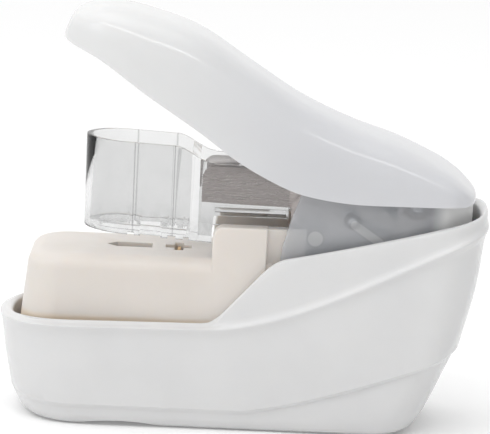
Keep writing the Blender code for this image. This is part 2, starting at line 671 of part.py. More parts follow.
def paper_table():
    """The cream table: a hollow block, two cheeks that stop the paper, and a rear tongue."""
    rings = [table_ring(TABLE_FRONT, TABLE_HALF, TABLE_CORNER, TABLE_FOOT),
             table_ring(TABLE_FRONT, TABLE_HALF, TABLE_CORNER, 0.022)]
    lean = 0.0012
    for k in range(6):
        t = math.radians(90 * k / 5)
        inset = TABLE_FILLET * (1 - math.cos(t))
        height = TABLE_TOP - TABLE_FILLET * (1 - math.sin(t))
        rings.append(table_ring(TABLE_FRONT + lean + inset, TABLE_HALF - inset,
                                TABLE_CORNER - 0.6 * inset, height))
    table = loft("paper_table", rings, CREAM)

    cheek = rounded([(CHEEK_FRONT, TABLE_FOOT + 0.004, 0.0), (CHEEK_REAR, TABLE_FOOT + 0.004, 0.0),
                     (CHEEK_REAR, CHEEK_TOP, 0.0), (CHEEK_FRONT, CHEEK_TOP, 0.0025)])
    rear_end = REAR - 0.0390
    rear_cheek = [(CHEEK_REAR - 0.002, 0.024), (rear_end, 0.026), (rear_end, CHEEK_TOP - 0.0003),
                  (CHEEK_REAR - 0.002, CHEEK_TOP - 0.0003)]
    for i, side in enumerate((-1, 1)):
        low, high = sorted((side * CHEEK_INNER, side * TABLE_HALF))
        join(table, slab(f"cheek_{i}", [cheek], low, high))
        low, high = sorted((side * CHEEK_INNER, side * REAR_CHEEK_HALF))
        join(table, slab(f"rear_cheek_{i}", [rear_cheek], low, high))

    cavity_rear = CHEEK_FRONT - 0.0037
    cavity = plan(TABLE_FRONT + 0.0030, cavity_rear, TABLE_HALF - 0.0026, 0.0028)
    combine(table, slab("table_cavity", [cavity], TABLE_FOOT - 0.002, TABLE_TOP - TABLE_SKIN, "Z"))

    slot = punch_outline(SLOT_CLEARANCE, 0.0010)
    combine(table, slab("punch_slot", [slot], TABLE_TOP - 0.006, TABLE_TOP + 0.001, "Z"))
    arm_half, cross_half, finger_half = SLIT_HALF + 0.0005, SLIT_STEEL / 2 + 0.0006, 0.0017
    front, rear = SLIT_X - 0.0029, SLIT_X + 0.0027
    cross = [(front, -finger_half), (SLIT_X - cross_half, -finger_half),
             (SLIT_X - cross_half, -arm_half), (SLIT_X + cross_half, -arm_half),
             (SLIT_X + cross_half, -finger_half), (rear, -finger_half), (rear, finger_half),
             (SLIT_X + cross_half, finger_half), (SLIT_X + cross_half, arm_half),
             (SLIT_X - cross_half, arm_half), (SLIT_X - cross_half, finger_half),
             (front, finger_half)]
    combine(table, slab("slit_slot", [cross], TABLE_TOP - 0.006, TABLE_TOP + 0.001, "Z"))

    axle_x, axle_z = ARM_AXLE
    px, pz = peg_place()
    outline = [(cavity_rear + 0.001, 0.0220), (REAR - 0.047, 0.0220)]
    outline += [(axle_x - 0.004, axle_z - 0.0042)] + arc(ARM_AXLE, 0.0042, -90, 90, 10)
    outline += [(px + 0.0042, 0.0380), (px + 0.0028, pz + 0.0022), (px - 0.0028, pz + 0.0022),
                (px - 0.0042, 0.0360), (cavity_rear + 0.001, TABLE_TOP - 0.001)]
    tongue = slab("table_tongue", [outline], -TONGUE_HALF, TONGUE_HALF)
    join(tongue, rod("stop_peg", (px, pz), PEG_RADIUS, -ARM_HALF, ARM_HALF, sides=16))
    combine(tongue, rod("table_axle_hole", ARM_AXLE, AXLE_RADIUS + RUNNING, -0.012, 0.012))
    join(table, tongue)

    for i, y in enumerate((-TABLE_SPRING_PLACE[1], TABLE_SPRING_PLACE[1])):
        join(table, rod(f"table_spring_peg_{i}", (TABLE_SPRING_PLACE[0], y), 0.0015, 0.0300,
                        TABLE_TOP - TABLE_SKIN + 0.0005, "Z", sides=16))


def table_springs():
    """The two coil springs that lift the table."""
    low, high = FLOOR_TOP + WIRE_RADIUS + GAP, TABLE_TOP - TABLE_SKIN - WIRE_RADIUS - GAP
    steps = 9 * TABLE_SPRING_TURNS
    for name, side in (("table_spring_right", -1), ("table_spring_left", 1)):
        points = []
        for i in range(steps + 1):
            a = math.radians(40 * i)
            points.append((TABLE_SPRING_PLACE[0] + TABLE_SPRING_RADIUS * math.cos(a),
                           side * TABLE_SPRING_PLACE[1] + TABLE_SPRING_RADIUS * math.sin(a),
                           blend(low, high, i / steps)))
        wire(name, points, WIRE_RADIUS, SPRING_STEEL)


# Steel arm and clear guard

ARM_FOOT = 0.0473
GUARD_GRIP = 0.0009
LEDGE_HEIGHT = 0.0010


def slot_path():
    """The drive pin's way through the arm, seen from the arm, rest to full press."""
    path = []
    for i in range(9):
        share = i / 8
        pressed = turn(DRIVE_PIN, HANDLE_AXLE, HANDLE_TRAVEL * share)
        path.append(turn(pressed, ARM_AXLE, -ARM_TRAVEL * share))
    return path


def slot_outline(path, radius):
    """A round-ended band along a path."""
    sides = ([], [])
    for i in range(len(path)):
        ahead = Vector(path[min(i + 1, len(path) - 1)]) - Vector(path[max(i - 1, 0)])
        across = Vector((-ahead.y, ahead.x)).normalized() * radius
        sides[0].append((path[i][0] + across.x, path[i][1] + across.y))
        sides[1].append((path[i][0] - across.x, path[i][1] - across.y))
    start = Vector(path[1]) - Vector(path[0])
    end = Vector(path[-1]) - Vector(path[-2])
    start_angle = math.degrees(math.atan2(start.y, start.x))
    end_angle = math.degrees(math.atan2(end.y, end.x))
    outline = sides[0] + arc(path[-1], radius, end_angle + 75, end_angle - 75, 6)
    return outline + sides[1][::-1] + arc(path[0], radius, start_angle + 255, start_angle + 105, 6)


def steel_arm():
    """The pressed steel channel that carries the guard, slotted for the drive pin."""
    x, z = ARM_AXLE
    deep = REAR - 0.0427
    lower = [(ARM_NOSE, ARM_FOOT + 0.0004, 0.0), (deep, ARM_FOOT, 0.0005), (deep + 0.0016, 0.0360, 0.001),
             (REAR - 0.024, 0.0310, 0.002), (x - 0.002, z - 0.0050, 0.0)]
    upper = [(x - 0.0005, z + 0.0050, 0.0), (x - 0.0060, 0.0445, 0.003), (REAR - 0.036, ARM_TOP, 0.002),
             (ARM_NOSE, ARM_TOP, 0.0025)]
    outline = rounded(lower + [(x + 0.0048, z - 0.0050, 0.0045), (x + 0.0048, z + 0.0050, 0.0045)]
                      + upper)
    arm = slab("steel_arm", [outline], -ARM_HALF, ARM_HALF, finish=STEEL_SHEET)
    combine(arm, box("arm_inside", (FRONT, -ARM_INNER, 0.0), (REAR + 0.01, ARM_INNER, ARM_TOP - STEEL)))
    combine(arm, rod("arm_axle_hole", ARM_AXLE, AXLE_RADIUS + RUNNING, -0.012, 0.012))
    combine(arm, rod("peg_hole", PEG_HOLE, PEG_HOLE_RADIUS, -0.012, 0.012))
    slot = slot_outline(slot_path(), DRIVE_PIN_RADIUS + RUNNING)
    combine(arm, slab("drive_slot", [slot], -0.012, 0.012))


def clear_guard():
    """The clear cup that clamps the paper; its side plates grip the arm from above and below."""
    radius, inner = GUARD_HALF, GUARD_INNER
    centre = (GUARD_FRONT + radius, 0.0)
    outside = arc(centre, radius, 90, 270, 28)
    outside += [(GUARD_END, -radius), (GUARD_END, -inner), (GUARD_WALL_REAR, -inner)]
    outside += [(GUARD_WALL_REAR, inner), (GUARD_END, inner), (GUARD_END, radius)]
    wall_front = GUARD_WALL_REAR - 0.0018
    hole = arc(centre, inner, 90, 270, 28) + [(wall_front, -inner), (wall_front, inner)]
    guard = slab("clear_guard", [outside, hole], 0.0370, 0.0640, "Z", CLEAR)

    step = GUARD_WALL_REAR + 0.0030
    side = [(FRONT, 0.0412), (GUARD_FRONT, 0.0407), (step, 0.0392), (step, 0.0430),
            (GUARD_END + 0.005, 0.0430), (GUARD_END + 0.005, 0.0560)]
    neck = GUARD_WALL_REAR + 0.0030
    shoulder = GUARD_WALL_REAR - 0.0055
    rise = []
    for k in range(9):
        t = k / 8
        rise.append((blend(neck, shoulder, t), blend(0.0562, 0.0596, t * t * (3 - 2 * t))))
    side += rise + [(GUARD_FRONT, 0.0604), (FRONT, 0.0606)]
    combine(guard, slab("guard_profile", [side], -0.03, 0.03), "INTERSECT")
    notch_rear = GUARD_WALL_REAR - 0.0079
    combine(guard, box("guard_notch", (notch_rear - 0.0043, -0.02, 0.03),
                       (notch_rear, -0.001, 0.0432)))
    ledge_top = ARM_FOOT - 2 * GAP
    for i, sign in enumerate((-1, 1)):
        low, high = sorted((sign * (GUARD_INNER - GUARD_GRIP), sign * (GUARD_INNER + GAP)))
        join(guard, box(f"guard_ledge_{i}", (step + 0.0005, low, ledge_top - LEDGE_HEIGHT),
                        (GUARD_END - 0.0005, high, ledge_top)))
        join(guard, box(f"guard_lip_{i}", (GUARD_END - 0.0110, low, ARM_TOP + GAP),
                        (GUARD_END - 0.0050, high, ARM_TOP + GAP + 0.0004)))


# Handle

DECK_TOP = 0.0554
DECK_FRONT = REAR - 0.026
DECK_REAR = REAR - 0.018
FRAME_FLAT_TAIL = 0.0068
COVER_STATIONS = 24
COVER_SIDES = 16
COVER_NOSE = 0.0180
COVER_TAIL = 0.0075
HANDLE_SCREW_PLACES = [(REAR - 0.0220, -0.0080), (REAR - 0.0220, 0.0080)]


def through(x, knots):
    """A smooth value at x through (x, value) knots, with flat-free cubic pieces."""
    if x <= knots[0][0]:
        return knots[0][1]
    for i in range(len(knots) - 1):
        (x0, v0), (x1, v1) = knots[i], knots[i + 1]
        if x > x1 and i < len(knots) - 2:
            continue
        before = knots[max(i - 1, 0)]
        after = knots[min(i + 2, len(knots) - 1)]
        slope0 = (v1 - before[1]) / (x1 - before[0])
        slope1 = (after[1] - v0) / (after[0] - x0)
        t = min(1.0, (x - x0) / (x1 - x0))
        width = x1 - x0
        return ((1 + 2 * t) * (1 - t) ** 2 * v0 + t * (1 - t) ** 2 * width * slope0
                + t * t * (3 - 2 * t) * v1 + t * t * (t - 1) * width * slope1)
    return knots[-1][1]


def cover_top(x):
    """The handle's back line, from its nose to its tail."""
    return through(x, [
        (HANDLE_TIP, 0.0822), (HANDLE_TIP + 0.0018, 0.0860), (HANDLE_TIP + 0.0052, 0.0880),
        (HANDLE_TIP + 0.0095, 0.08866), (HANDLE_TIP + 0.0178, 0.0872),
        (HANDLE_TIP + 0.0285, 0.0837), (HANDLE_TIP + 0.0395, 0.0769),
        (REAR - 0.0416, 0.0701), (REAR - 0.0307, 0.0652), (REAR - 0.0198, 0.0615),
        (REAR - 0.0110, 0.0574), (REAR - 0.0066, 0.0545), (HANDLE_END, 0.0515)])


def cover_edge(x):
    """The handle's lower edge."""
    return through(x, [
        (HANDLE_TIP, 0.0812), (HANDLE_TIP + 0.0083, 0.0780), (HANDLE_TIP + 0.0190, 0.0708),
        (HANDLE_TIP + 0.0297, 0.0639), (HANDLE_TIP + 0.0373, 0.0585), (REAR - 0.0473, 0.0544),
        (REAR - 0.0405, 0.0517), (REAR - 0.0304, 0.0502), (REAR - 0.0199, 0.0501),
        (REAR - 0.0050, 0.0503), (HANDLE_END, 0.0505)])


def cover_half(x, inset):
    """Half the handle's width at x, drawn in by inset."""
    half = COVER_HALF - inset
    nose = HANDLE_TIP + inset
    if x < nose + COVER_NOSE:
        t = max(0.0, (nose + COVER_NOSE - x) / COVER_NOSE)
        return half * max(0.0, 1 - t ** 2.3) ** (1 / 2.3)
    tail = HANDLE_END - inset
    if x > tail - COVER_TAIL:
        t = min(1.0, (x - tail + COVER_TAIL) / COVER_TAIL)
        return half * max(0.0, 1 - t ** 2.8) ** (1 / 2.8)
    return half


def cover_ring(x, inset, drop):
    """One arched section of the handle's cover, closed below at drop under its edge."""
    half = max(cover_half(x, inset), 0.0004)
    edge = cover_edge(x) - drop
    top = max(cover_top(x) - inset, edge + 0.0004)
    ring = []
    for k in range(COVER_SIDES + 1):
        a = math.pi * k / COVER_SIDES
        c, s = math.cos(a), math.sin(a)
        y = half * math.copysign(abs(c) ** 0.5, c)
        ring.append((x, y, edge + (top - edge) * abs(s) ** 0.5))
    return ring


def cover_body(name, inset, drop, finish=None):
    """The handle's cover as a solid, full size or drawn in for its hollow."""
    nose, tail = HANDLE_TIP + inset, HANDLE_END - inset
    rings = []
    for k in range(COVER_STATIONS + 1):
        t = k / COVER_STATIONS
        eased = 0.5 - 0.5 * math.cos(math.pi * t)
        x = blend(nose, tail, 0.45 * eased + 0.55 * t)
        rings.append(cover_ring(min(max(x, nose + 0.0001), tail - 0.0001), inset, drop))
    return loft(name, rings, finish)


def handle_cover():
    """The milky upper shell of the handle."""
    cover = cover_body("handle_cover", 0.0, 0.0, MILKY)
    combine(cover, cover_body("cover_hollow", COVER_WALL, 0.004))
    for i, place in enumerate(HANDLE_SCREW_PLACES):
        boss_foot = DECK_TOP + GAP
        roof = cover_top(place[0]) - COVER_WALL - 0.0008
        join(cover, rod(f"cover_boss_{i}", place, 0.0022, boss_foot, roof, "Z", sides=20))
        combine(cover, rod(f"cover_thread_{i}", place, SCREW_RADIUS + GAP, boss_foot - 0.001,
                           boss_foot + 0.0028, "Z", sides=16))


def handle_frame():
    """The milky inner frame: two skirts, a rear wall, a deck and bosses for the axle and pin."""
    x_front, x_rear = REAR - 0.046, REAR - 0.0039
    outer_r = SKIRT_HALF - FRAME_FLAT_TAIL
    inner_r = outer_r - SKIRT_WALL
    inner = SKIRT_INNER
    outside = [(x_front, SKIRT_HALF), (x_front, inner)]
    outside += arc((x_rear - outer_r, inner - inner_r), inner_r, 90, 0, 6)
    outside += arc((x_rear - outer_r, inner_r - inner), inner_r, 0, -90, 6)
    outside += [(x_front, -inner), (x_front, -SKIRT_HALF)]
    outside += arc((x_rear - outer_r, outer_r - SKIRT_HALF), outer_r, -90, 0, 8)
    outside += arc((x_rear - outer_r, SKIRT_HALF - outer_r), outer_r, 0, 90, 8)
    frame = slab("handle_frame", [outside], 0.028, 0.062, "Z", MILKY_SKIRT)
    x, z = HANDLE_AXLE
    side = [(REAR - 0.0400, 0.0560), (REAR - 0.0406, 0.0509), (REAR - 0.0425, 0.0455),
            (REAR - 0.0440, 0.0400), (REAR - 0.0446, 0.0345), (REAR - 0.0410, 0.0330)]
    side += arc((x, z), 0.0118, 268, 325, 8)
    side += [(REAR - 0.0039, z - 0.0053), (REAR - 0.0030, 0.0498), (REAR - 0.0066, 0.0498),
             (REAR - 0.0080, 0.0508), (REAR - 0.0120, 0.0525), (REAR - 0.0160, 0.0541),
             (REAR - 0.0190, 0.0551), (REAR - 0.0260, 0.0562)]
    combine(frame, slab("frame_profile", [side[::-1]], -0.04, 0.04), "INTERSECT")
    reach = inner + 0.0004
    join(frame, box("frame_deck", (DECK_FRONT, -reach, DECK_TOP - SKIRT_WALL),
                    (DECK_REAR, reach, DECK_TOP)))
    for i, sign in enumerate((-1, 1)):
        for name, place, radius in (("axle", HANDLE_AXLE, 0.0032), ("pin", DRIVE_PIN, 0.0019)):
            low, high = sorted((sign * BOSS_INNER, sign * reach))
            join(frame, rod(f"{name}_boss_{i}", place, radius, low, high))
    bore = SKIRT_HALF - BLIND_HOLE_FLOOR
    combine(frame, rod("frame_axle_bore", HANDLE_AXLE, AXLE_RADIUS + RUNNING, -bore, bore))
    combine(frame, rod("frame_pin_bore", DRIVE_PIN, DRIVE_PIN_RADIUS + RUNNING, -bore, bore,
                       sides=16))
    for i, place in enumerate(HANDLE_SCREW_PLACES):
        combine(frame, rod(f"deck_hole_{i}", place, SCREW_RADIUS + GAP, 0.050, 0.060, "Z"))
        low = DECK_TOP - SKIRT_WALL - GAP - SCREW_HEAD_HEIGHT
        screw(f"handle_screw_{i + 1}", place, low, low + SCREW_HEAD_HEIGHT, DECK_TOP + 0.0026)
    rod("drive_pin", DRIVE_PIN, DRIVE_PIN_RADIUS, -PIN_HALF, PIN_HALF, finish=STEEL_PIN, sides=16)


def return_spring():
    """The torsion spring on the handle's axle, with one leg under the deck."""
    x, z = HANDLE_AXLE
    radius = AXLE_RADIUS + WIRE_RADIUS + RUNNING + GAP
    half = 0.0040
    points = [(DECK_FRONT + 0.0035, -half, DECK_TOP - SKIRT_WALL - WIRE_RADIUS - GAP)]
    steps = 12 * TORSION_TURNS + 6
    for i in range(steps + 1):
        a = math.radians(90 + 30 * i)
        points.append((x + radius * math.cos(a), blend(-half, half, i / steps),
                       z + radius * math.sin(a)))
    points.append((x + 0.0042, half, z - 0.0105))
    wire("return_spring", points, WIRE_RADIUS, SPRING_STEEL)


def main():
    """Build every part in turn, from the base up."""
    clear_scene()
    base_shell()
    bottom_lid()
    hinge_bracket()
    axles()
    blades()
    blade_holder()
    tucking_lever()
    paper_table()
    table_springs()
    steel_arm()
    clear_guard()
    handle_cover()
    handle_frame()
    return_spring()


main()
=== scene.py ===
"""Looks of a hand-held stapler that fastens paper without staples.

Every sub-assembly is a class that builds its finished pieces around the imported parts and
dresses them in procedural finishes. All lengths are in metres, +Z is up, the paper goes in at
-X and the hinge is at +X.
"""

from __future__ import annotations

import json
import logging
import math
from dataclasses import dataclass
from enum import Enum
from typing import Callable, Iterable, Sequence, Union

import bmesh
import bpy
import numpy as np
from mathutils import Matrix, Vector

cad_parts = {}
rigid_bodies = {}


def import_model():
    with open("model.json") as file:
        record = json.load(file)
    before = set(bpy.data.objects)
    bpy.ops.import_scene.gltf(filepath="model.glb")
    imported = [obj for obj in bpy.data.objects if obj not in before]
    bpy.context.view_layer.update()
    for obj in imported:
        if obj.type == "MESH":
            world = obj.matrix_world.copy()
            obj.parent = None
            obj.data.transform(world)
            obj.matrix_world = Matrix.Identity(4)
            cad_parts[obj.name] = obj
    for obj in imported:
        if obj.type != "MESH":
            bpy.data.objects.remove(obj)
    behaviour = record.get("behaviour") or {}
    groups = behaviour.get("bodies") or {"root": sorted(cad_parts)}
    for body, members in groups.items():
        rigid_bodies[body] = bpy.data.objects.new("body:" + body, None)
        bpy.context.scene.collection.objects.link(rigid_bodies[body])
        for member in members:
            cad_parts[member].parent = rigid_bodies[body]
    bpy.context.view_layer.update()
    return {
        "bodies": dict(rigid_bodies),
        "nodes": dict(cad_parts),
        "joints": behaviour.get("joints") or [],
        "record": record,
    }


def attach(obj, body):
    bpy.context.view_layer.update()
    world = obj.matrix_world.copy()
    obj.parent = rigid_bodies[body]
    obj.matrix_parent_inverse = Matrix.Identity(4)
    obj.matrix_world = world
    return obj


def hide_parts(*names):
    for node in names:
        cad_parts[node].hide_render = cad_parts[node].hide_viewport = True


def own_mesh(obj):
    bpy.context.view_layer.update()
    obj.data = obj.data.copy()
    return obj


LOG = logging.getLogger("stapler")

Point = tuple[float, float]
Place = tuple[float, float, float]
Colour = tuple[float, float, float]
Height = Union[float, Callable[[float], float]]

FRONT, REAR = -0.052, 0.052
ARM_AXLE: Point = (0.040, 0.033)
HANDLE_AXLE: Point = (0.036, 0.04975)
DRIVE_PIN: Point = (0.0225, 0.0459)
ARM_FOOT, ARM_TOP = 0.0473, 0.0553
FLOOR_TOP = 0.0034
TABLE_TOP = 0.0363
SLIT_X = -0.01405
PAIR_SIDE = 0.008
SPRING_X = FRONT + 0.0135
BOSS_X = 0.030
PEG: Point = (0.0148, 0.04114)
PUNCH_PIN: Point = (-0.02368, 0.0125)
GUARD_SEAMS = (-0.0240, -0.0155)
LEVER_PIN: Point = (-0.017, 0.0215)
SMALL_PIN_RADIUS = 0.0007
WIRE_RADIUS = 0.00035


class Body(Enum):
    """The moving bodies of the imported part."""

    BASE = "base"
    HANDLE = "handle"
    ARM = "arm"
    TABLE = "table"
    LEVER = "lever"


class Slot(Enum):
    """The material slots of the record."""

    SHELL = "white_shell"
    COVER = "milky_cover"
    FRAME = "milky_frame"
    TABLE = "cream_table"
    GUARD = "clear_guard"
    SHEET = "pressed_steel"
    PIN = "pin_steel"
    SPRING = "spring_steel"
    BLADE = "blade_steel"
    COATED = "coated_blade"
    SCREW = "zinc_screw"
    GREY = "grey_plastic"


class Axis(Enum):
    """The direction of a turned piece or of an extrusion."""

    X = "X"
    Y = "Y"
    Z = "Z"


# Shader expressions


Operand = Union["Signal", float]


class Signal:
    """An output socket of a node tree that takes part in arithmetic."""

    def __init__(self, graph: "Graph", socket: bpy.types.NodeSocket) -> None:
        """Wrap a socket.

        Args:
            graph: The graph that the socket belongs to.
            socket: The output socket.
        """
        self.graph = graph
        self.socket = socket

    def _math(self, operation: str, first: Operand, second: Operand) -> "Signal":
        """One Math node between two operands."""
        return self.graph.node("ShaderNodeMath", {"operation": operation}, {0: first, 1: second})

    def __add__(self, other: Operand) -> "Signal":
        """Sum."""
        return self._math("ADD", self, other)

    def __radd__(self, other: Operand) -> "Signal":
        """Sum with a number on the left."""
        return self._math("ADD", other, self)

    def __sub__(self, other: Operand) -> "Signal":
        """Difference."""
        return self._math("SUBTRACT", self, other)

    def __rsub__(self, other: Operand) -> "Signal":
        """Difference from a number."""
        return self._math("SUBTRACT", other, self)

    def __mul__(self, other: Operand) -> "Signal":
        """Product."""
        return self._math("MULTIPLY", self, other)

    def __rmul__(self, other: Operand) -> "Signal":
        """Product with a number on the left."""
        return self._math("MULTIPLY", other, self)

    def __pow__(self, other: Operand) -> "Signal":
        """Power."""
        return self._math("POWER", self, other)


class Graph:
    """The node tree of a material or of the surroundings."""

    def __init__(self, owner: bpy.types.ID, shader: str = "Principled BSDF") -> None:
        """Start on a material or a world.

        Args:
            owner: The material or the world.
            shader: The name of its main shader node.
        """
        owner.use_nodes = True
        self.owner = owner
        self.tree = owner.node_tree
        self.shader = self.tree.nodes[shader]

    @classmethod
    def of_material(cls, name: str) -> "Graph":
        """Start a new material.

        Args:
            name: The material's name.

        Returns:
            Its graph.
        """
        return cls(bpy.data.materials.new(name))

    def feed(self, socket: bpy.types.NodeSocket, value: object) -> None:
        """Set or link an input socket.

        Args:
            socket: The input.
            value: A signal to link, or a constant.
        """
        if isinstance(value, Signal):
            self.tree.links.new(value.socket, socket)
        elif isinstance(value, tuple) and len(value) == 3 and socket.type == "RGBA":
            socket.default_value = (*value, 1.0)
        else:
            socket.default_value = value

    def node(self, kind: str, settings: dict | None = None, inputs: dict | None = None,
             output: int | str = 0) -> Signal:
        """Add any node.

        Args:
            kind: The node's type name.
            settings: Its properties; "stops" fills a ramp with (position, colour) pairs.
            inputs: Values or signals by socket name or index.
            output: The output to return.

        Returns:
            The chosen output as a signal.
        """
        node = self.tree.nodes.new(kind)
        for name, value in (settings or {}).items():
            if name == "stops":
                elements = node.color_ramp.elements
                while len(elements) < len(value):
                    elements.new(0.5)
                for element, (position, colour) in zip(elements, value):
                    element.position = position
                    element.color = (*colour, 1.0)
            else:
                setattr(node, name, value)
        for name, value in (inputs or {}).items():
            self.feed(node.inputs[name], value)
        return Signal(self, node.outputs[output])

    def place(self) -> Signal:
        """Positions on the piece, in metres."""
        return self.node("ShaderNodeTexCoord", output="Object")

    def axis(self, name: str) -> Signal:
        """One coordinate of the position, in metres.

        Args:
            name: "X", "Y" or "Z".

        Returns:
            The coordinate.
        """
        return self.node("ShaderNodeSeparateXYZ", inputs={0: self.place()}, output=name)

    def noise(self, scale: float, detail: float = 3.0, stretch: Place = (1, 1, 1)) -> Signal:
        """A smooth noise from 0 to 1.

        Args:
            scale: Features per metre.
            detail: Octaves.
            stretch: How much finer the noise is along each axis.

        Returns:
            The noise.
        """
        place = self.node("ShaderNodeVectorMath", {"operation": "MULTIPLY"},
                          {0: self.place(), 1: stretch})
        return self.node("ShaderNodeTexNoise", inputs={"Vector": place, "Scale": scale,
                                                       "Detail": detail}, output="Fac")

    def span(self, signal: Signal, low: float, high: float) -> Signal:
        """A smooth step of a signal between two values, from 0 to 1.

        Args:
            signal: What is measured.
            low: Where the step starts.
            high: Where it ends.

        Returns:
            The step.
        """
        return self.node("ShaderNodeMapRange", {"interpolation_type": "SMOOTHSTEP"},
                         {"Value": signal, "From Min": low, "From Max": high})

    def patch(self, start: Point, end: Point, radius: float) -> Signal:
        """A round-ended patch seen from the side, 1 inside and 0 outside.

        Args:
            start: One end of its middle line, as (x, z).
            end: The other end.
            radius: Half its width.

        Returns:
            The patch.
        """
        dx, dz = end[0] - start[0] + 1e-6, end[1] - start[1]
        x, z = self.axis("X") - start[0], self.axis("Z") - start[1]
        along = self.node("ShaderNodeClamp",
                          inputs={0: (x * dx + z * dz) * (1.0 / (dx * dx + dz * dz))})
        x, z = x - along * dx, z - along * dz
        return self.span(radius - (x * x + z * z) ** 0.5, -0.0002, 0.0002)

    def mix(self, share: Operand, first: object, second: object) -> Signal:
        """Blend two colours.

        Args:
            share: 0 for the first, 1 for the second.
            first: A colour or a colour signal.
            second: A colour or a colour signal.

        Returns:
            The blended colour.
        """
        return self.node("ShaderNodeMix", {"data_type": "RGBA"}, {0: share, 6: first, 7: second},
                         output=2)

    def worn_edges(self, radius: float) -> Signal:
        """How much the surface turns within a radius, from 0 on a flat to 1 on an edge."""
        bevel = self.node("ShaderNodeBevel", {"samples": 4}, {"Radius": radius})
        flat = self.node("ShaderNodeNewGeometry", output="Normal")
        dot = self.node("ShaderNodeVectorMath", {"operation": "DOT_PRODUCT"}, {0: bevel, 1: flat},
                        output="Value")
        return self.span(1.0 - dot, 0.01, 0.25)

    def bump(self, height: Signal, strength: float, distance: float) -> None:
        """Feed the shader's normal from a height.

        Args:
            height: The height from 0 to 1.
            strength: The share of the effect.
            distance: What a height of 1 stands for, in metres.
        """
        normal = self.node("ShaderNodeBump", inputs={"Strength": strength, "Distance": distance,
                                                     "Height": height}, output="Normal")
        self.feed(self.shader.inputs["Normal"], normal)

    def principled(self, **values: object) -> None:
        """Set the Principled shader's sockets, with underscores for spaces."""
        for name, value in values.items():
            self.feed(self.shader.inputs[name.replace("_", " ")], value)


# Finishes


@dataclass(frozen=True)
class MouldedPlastic:
    """An opaque moulded plastic with a soft flow pattern and a fine skin.

    Attributes:
        name: The material's name.
        colour: Where the surface is clean.
        shade: In the flow marks and the specks.
        roughness: The mean roughness.
        grain: The depth of the skin's texture.
        glow: Subsurface share.
        painted_low_glow: A painted warm glow low in the piece, for the light that bounces about in
            the cream plastic and shows in its openings, if any.
        painted_low_glow_heights: Where that painted glow starts and is full, as heights.
    """

    name: str
    colour: Colour
    shade: Colour
    roughness: float = 0.34
    grain: float = 0.000006
    glow: float = 0.0
    painted_low_glow: Colour | None = None
    painted_low_glow_heights: Point = (0.030, 0.022)

    def material(self) -> bpy.types.Material:
        """Build the material."""
        graph = Graph.of_material(self.name)
        cloud = graph.noise(55.0, 4.0)
        colour = graph.mix(graph.span(cloud, 0.35, 0.75), self.colour, self.shade)
        # Painted warm glow: below the given heights the colour turns warm, standing in for light
        # that bounces about in the cream plastic and shows in its openings.
        if self.painted_low_glow is not None:
            low, high = self.painted_low_glow_heights
            foot = graph.span(graph.axis("Z") * -1.0, -low, -high)
            colour = graph.mix(foot * 0.6, colour, self.painted_low_glow)
        specks = graph.span(graph.noise(1500.0, 1.0), 0.80, 0.86)
        colour = graph.mix(specks * 0.25, colour, self.shade)
        skin = graph.noise(5200.0, 2.0)
        swirl = graph.noise(240.0, 2.0)
        graph.principled(Base_Color=colour,
                         Roughness=self.roughness - 0.05 + 0.10 * swirl + 0.04 * specks,
                         Subsurface_Weight=self.glow, Subsurface_Scale=0.003,
                         Subsurface_Radius=(1.0, 0.8, 0.6), Specular_IOR_Level=0.5)
        graph.bump(skin * 0.7 + swirl * 0.3, 0.6, self.grain)
        return graph.owner


@dataclass(frozen=True)
class MilkyPlastic:
    """A translucent white plastic that lets what is behind it tint it.

    Attributes:
        name: The material's name.
        colour: Towards the front: the clean wall on the cover, painted shade of the steel arm
            behind on the skirt, where the wall is also see-through.
        tint: Towards the back: painted shade of the mechanism behind on the cover, the clean wall
            past the arm on the skirt.
        tint_along: The two places along X between which the tint sets in.
        roughness: The mean roughness.
        opacity: Alpha of one skin of the wall before the tint sets in; past it the wall is
            nearly opaque.
        glow: Subsurface share.
        grain: The depth of the skin's texture.
        painted_light_patches: Painted lighter patches where light gets past the steel arm behind
            the wall, at the stop peg and along the drive pin's slot, each ringed by painted dark
            shade, as (start, end, radius).
    """

    name: str
    colour: Colour
    tint: Colour
    tint_along: Point
    roughness: float = 0.28
    opacity: float = 1.0
    glow: float = 0.25
    grain: float = 0.000005
    painted_light_patches: tuple[tuple[Point, Point, float], ...] = ()

    def material(self) -> bpy.types.Material:
        """Build the material."""
        graph = Graph.of_material(self.name)
        along = graph.span(graph.axis("X"), *self.tint_along)
        cloud = graph.noise(40.0, 3.0)
        fleck = graph.noise(900.0, 2.0)
        # Painted shade: along X the colour moves between the clean wall and painted shade of the
        # mechanism behind it.
        colour = graph.mix(along * (0.85 + 0.15 * cloud), self.colour, self.tint)
        colour = graph.mix(graph.span(fleck, 0.66, 0.90) * 0.12, colour, self.tint)
        graph.principled(Roughness=self.roughness - 0.04 + 0.08 * cloud,
                         Subsurface_Weight=self.glow, Subsurface_Scale=0.003,
                         Subsurface_Radius=(0.9, 1.0, 1.1), Specular_IOR_Level=0.5)
        cover = self.opacity + (0.94 - self.opacity) * along
        # Painted light: a lighter patch where light gets past the arm behind the wall, ringed by
        # painted dark shade.
        for start, end, radius in self.painted_light_patches:
            patch = graph.patch(start, end, radius)
            rim = graph.patch(start, end, radius + 0.0003) - patch
            colour = graph.mix(patch * 0.25, colour, (0.80, 0.80, 0.76))
            colour = graph.mix(rim * 0.25, colour, (0.50, 0.50, 0.52))
            cover = cover + patch * 0.08
        graph.principled(Base_Color=colour)
        if self.opacity < 1.0:
            graph.principled(Alpha=cover)
        graph.bump(graph.noise(4200.0, 2.0) * 0.6 + fleck * 0.4, 0.5, self.grain)
        return graph.owner


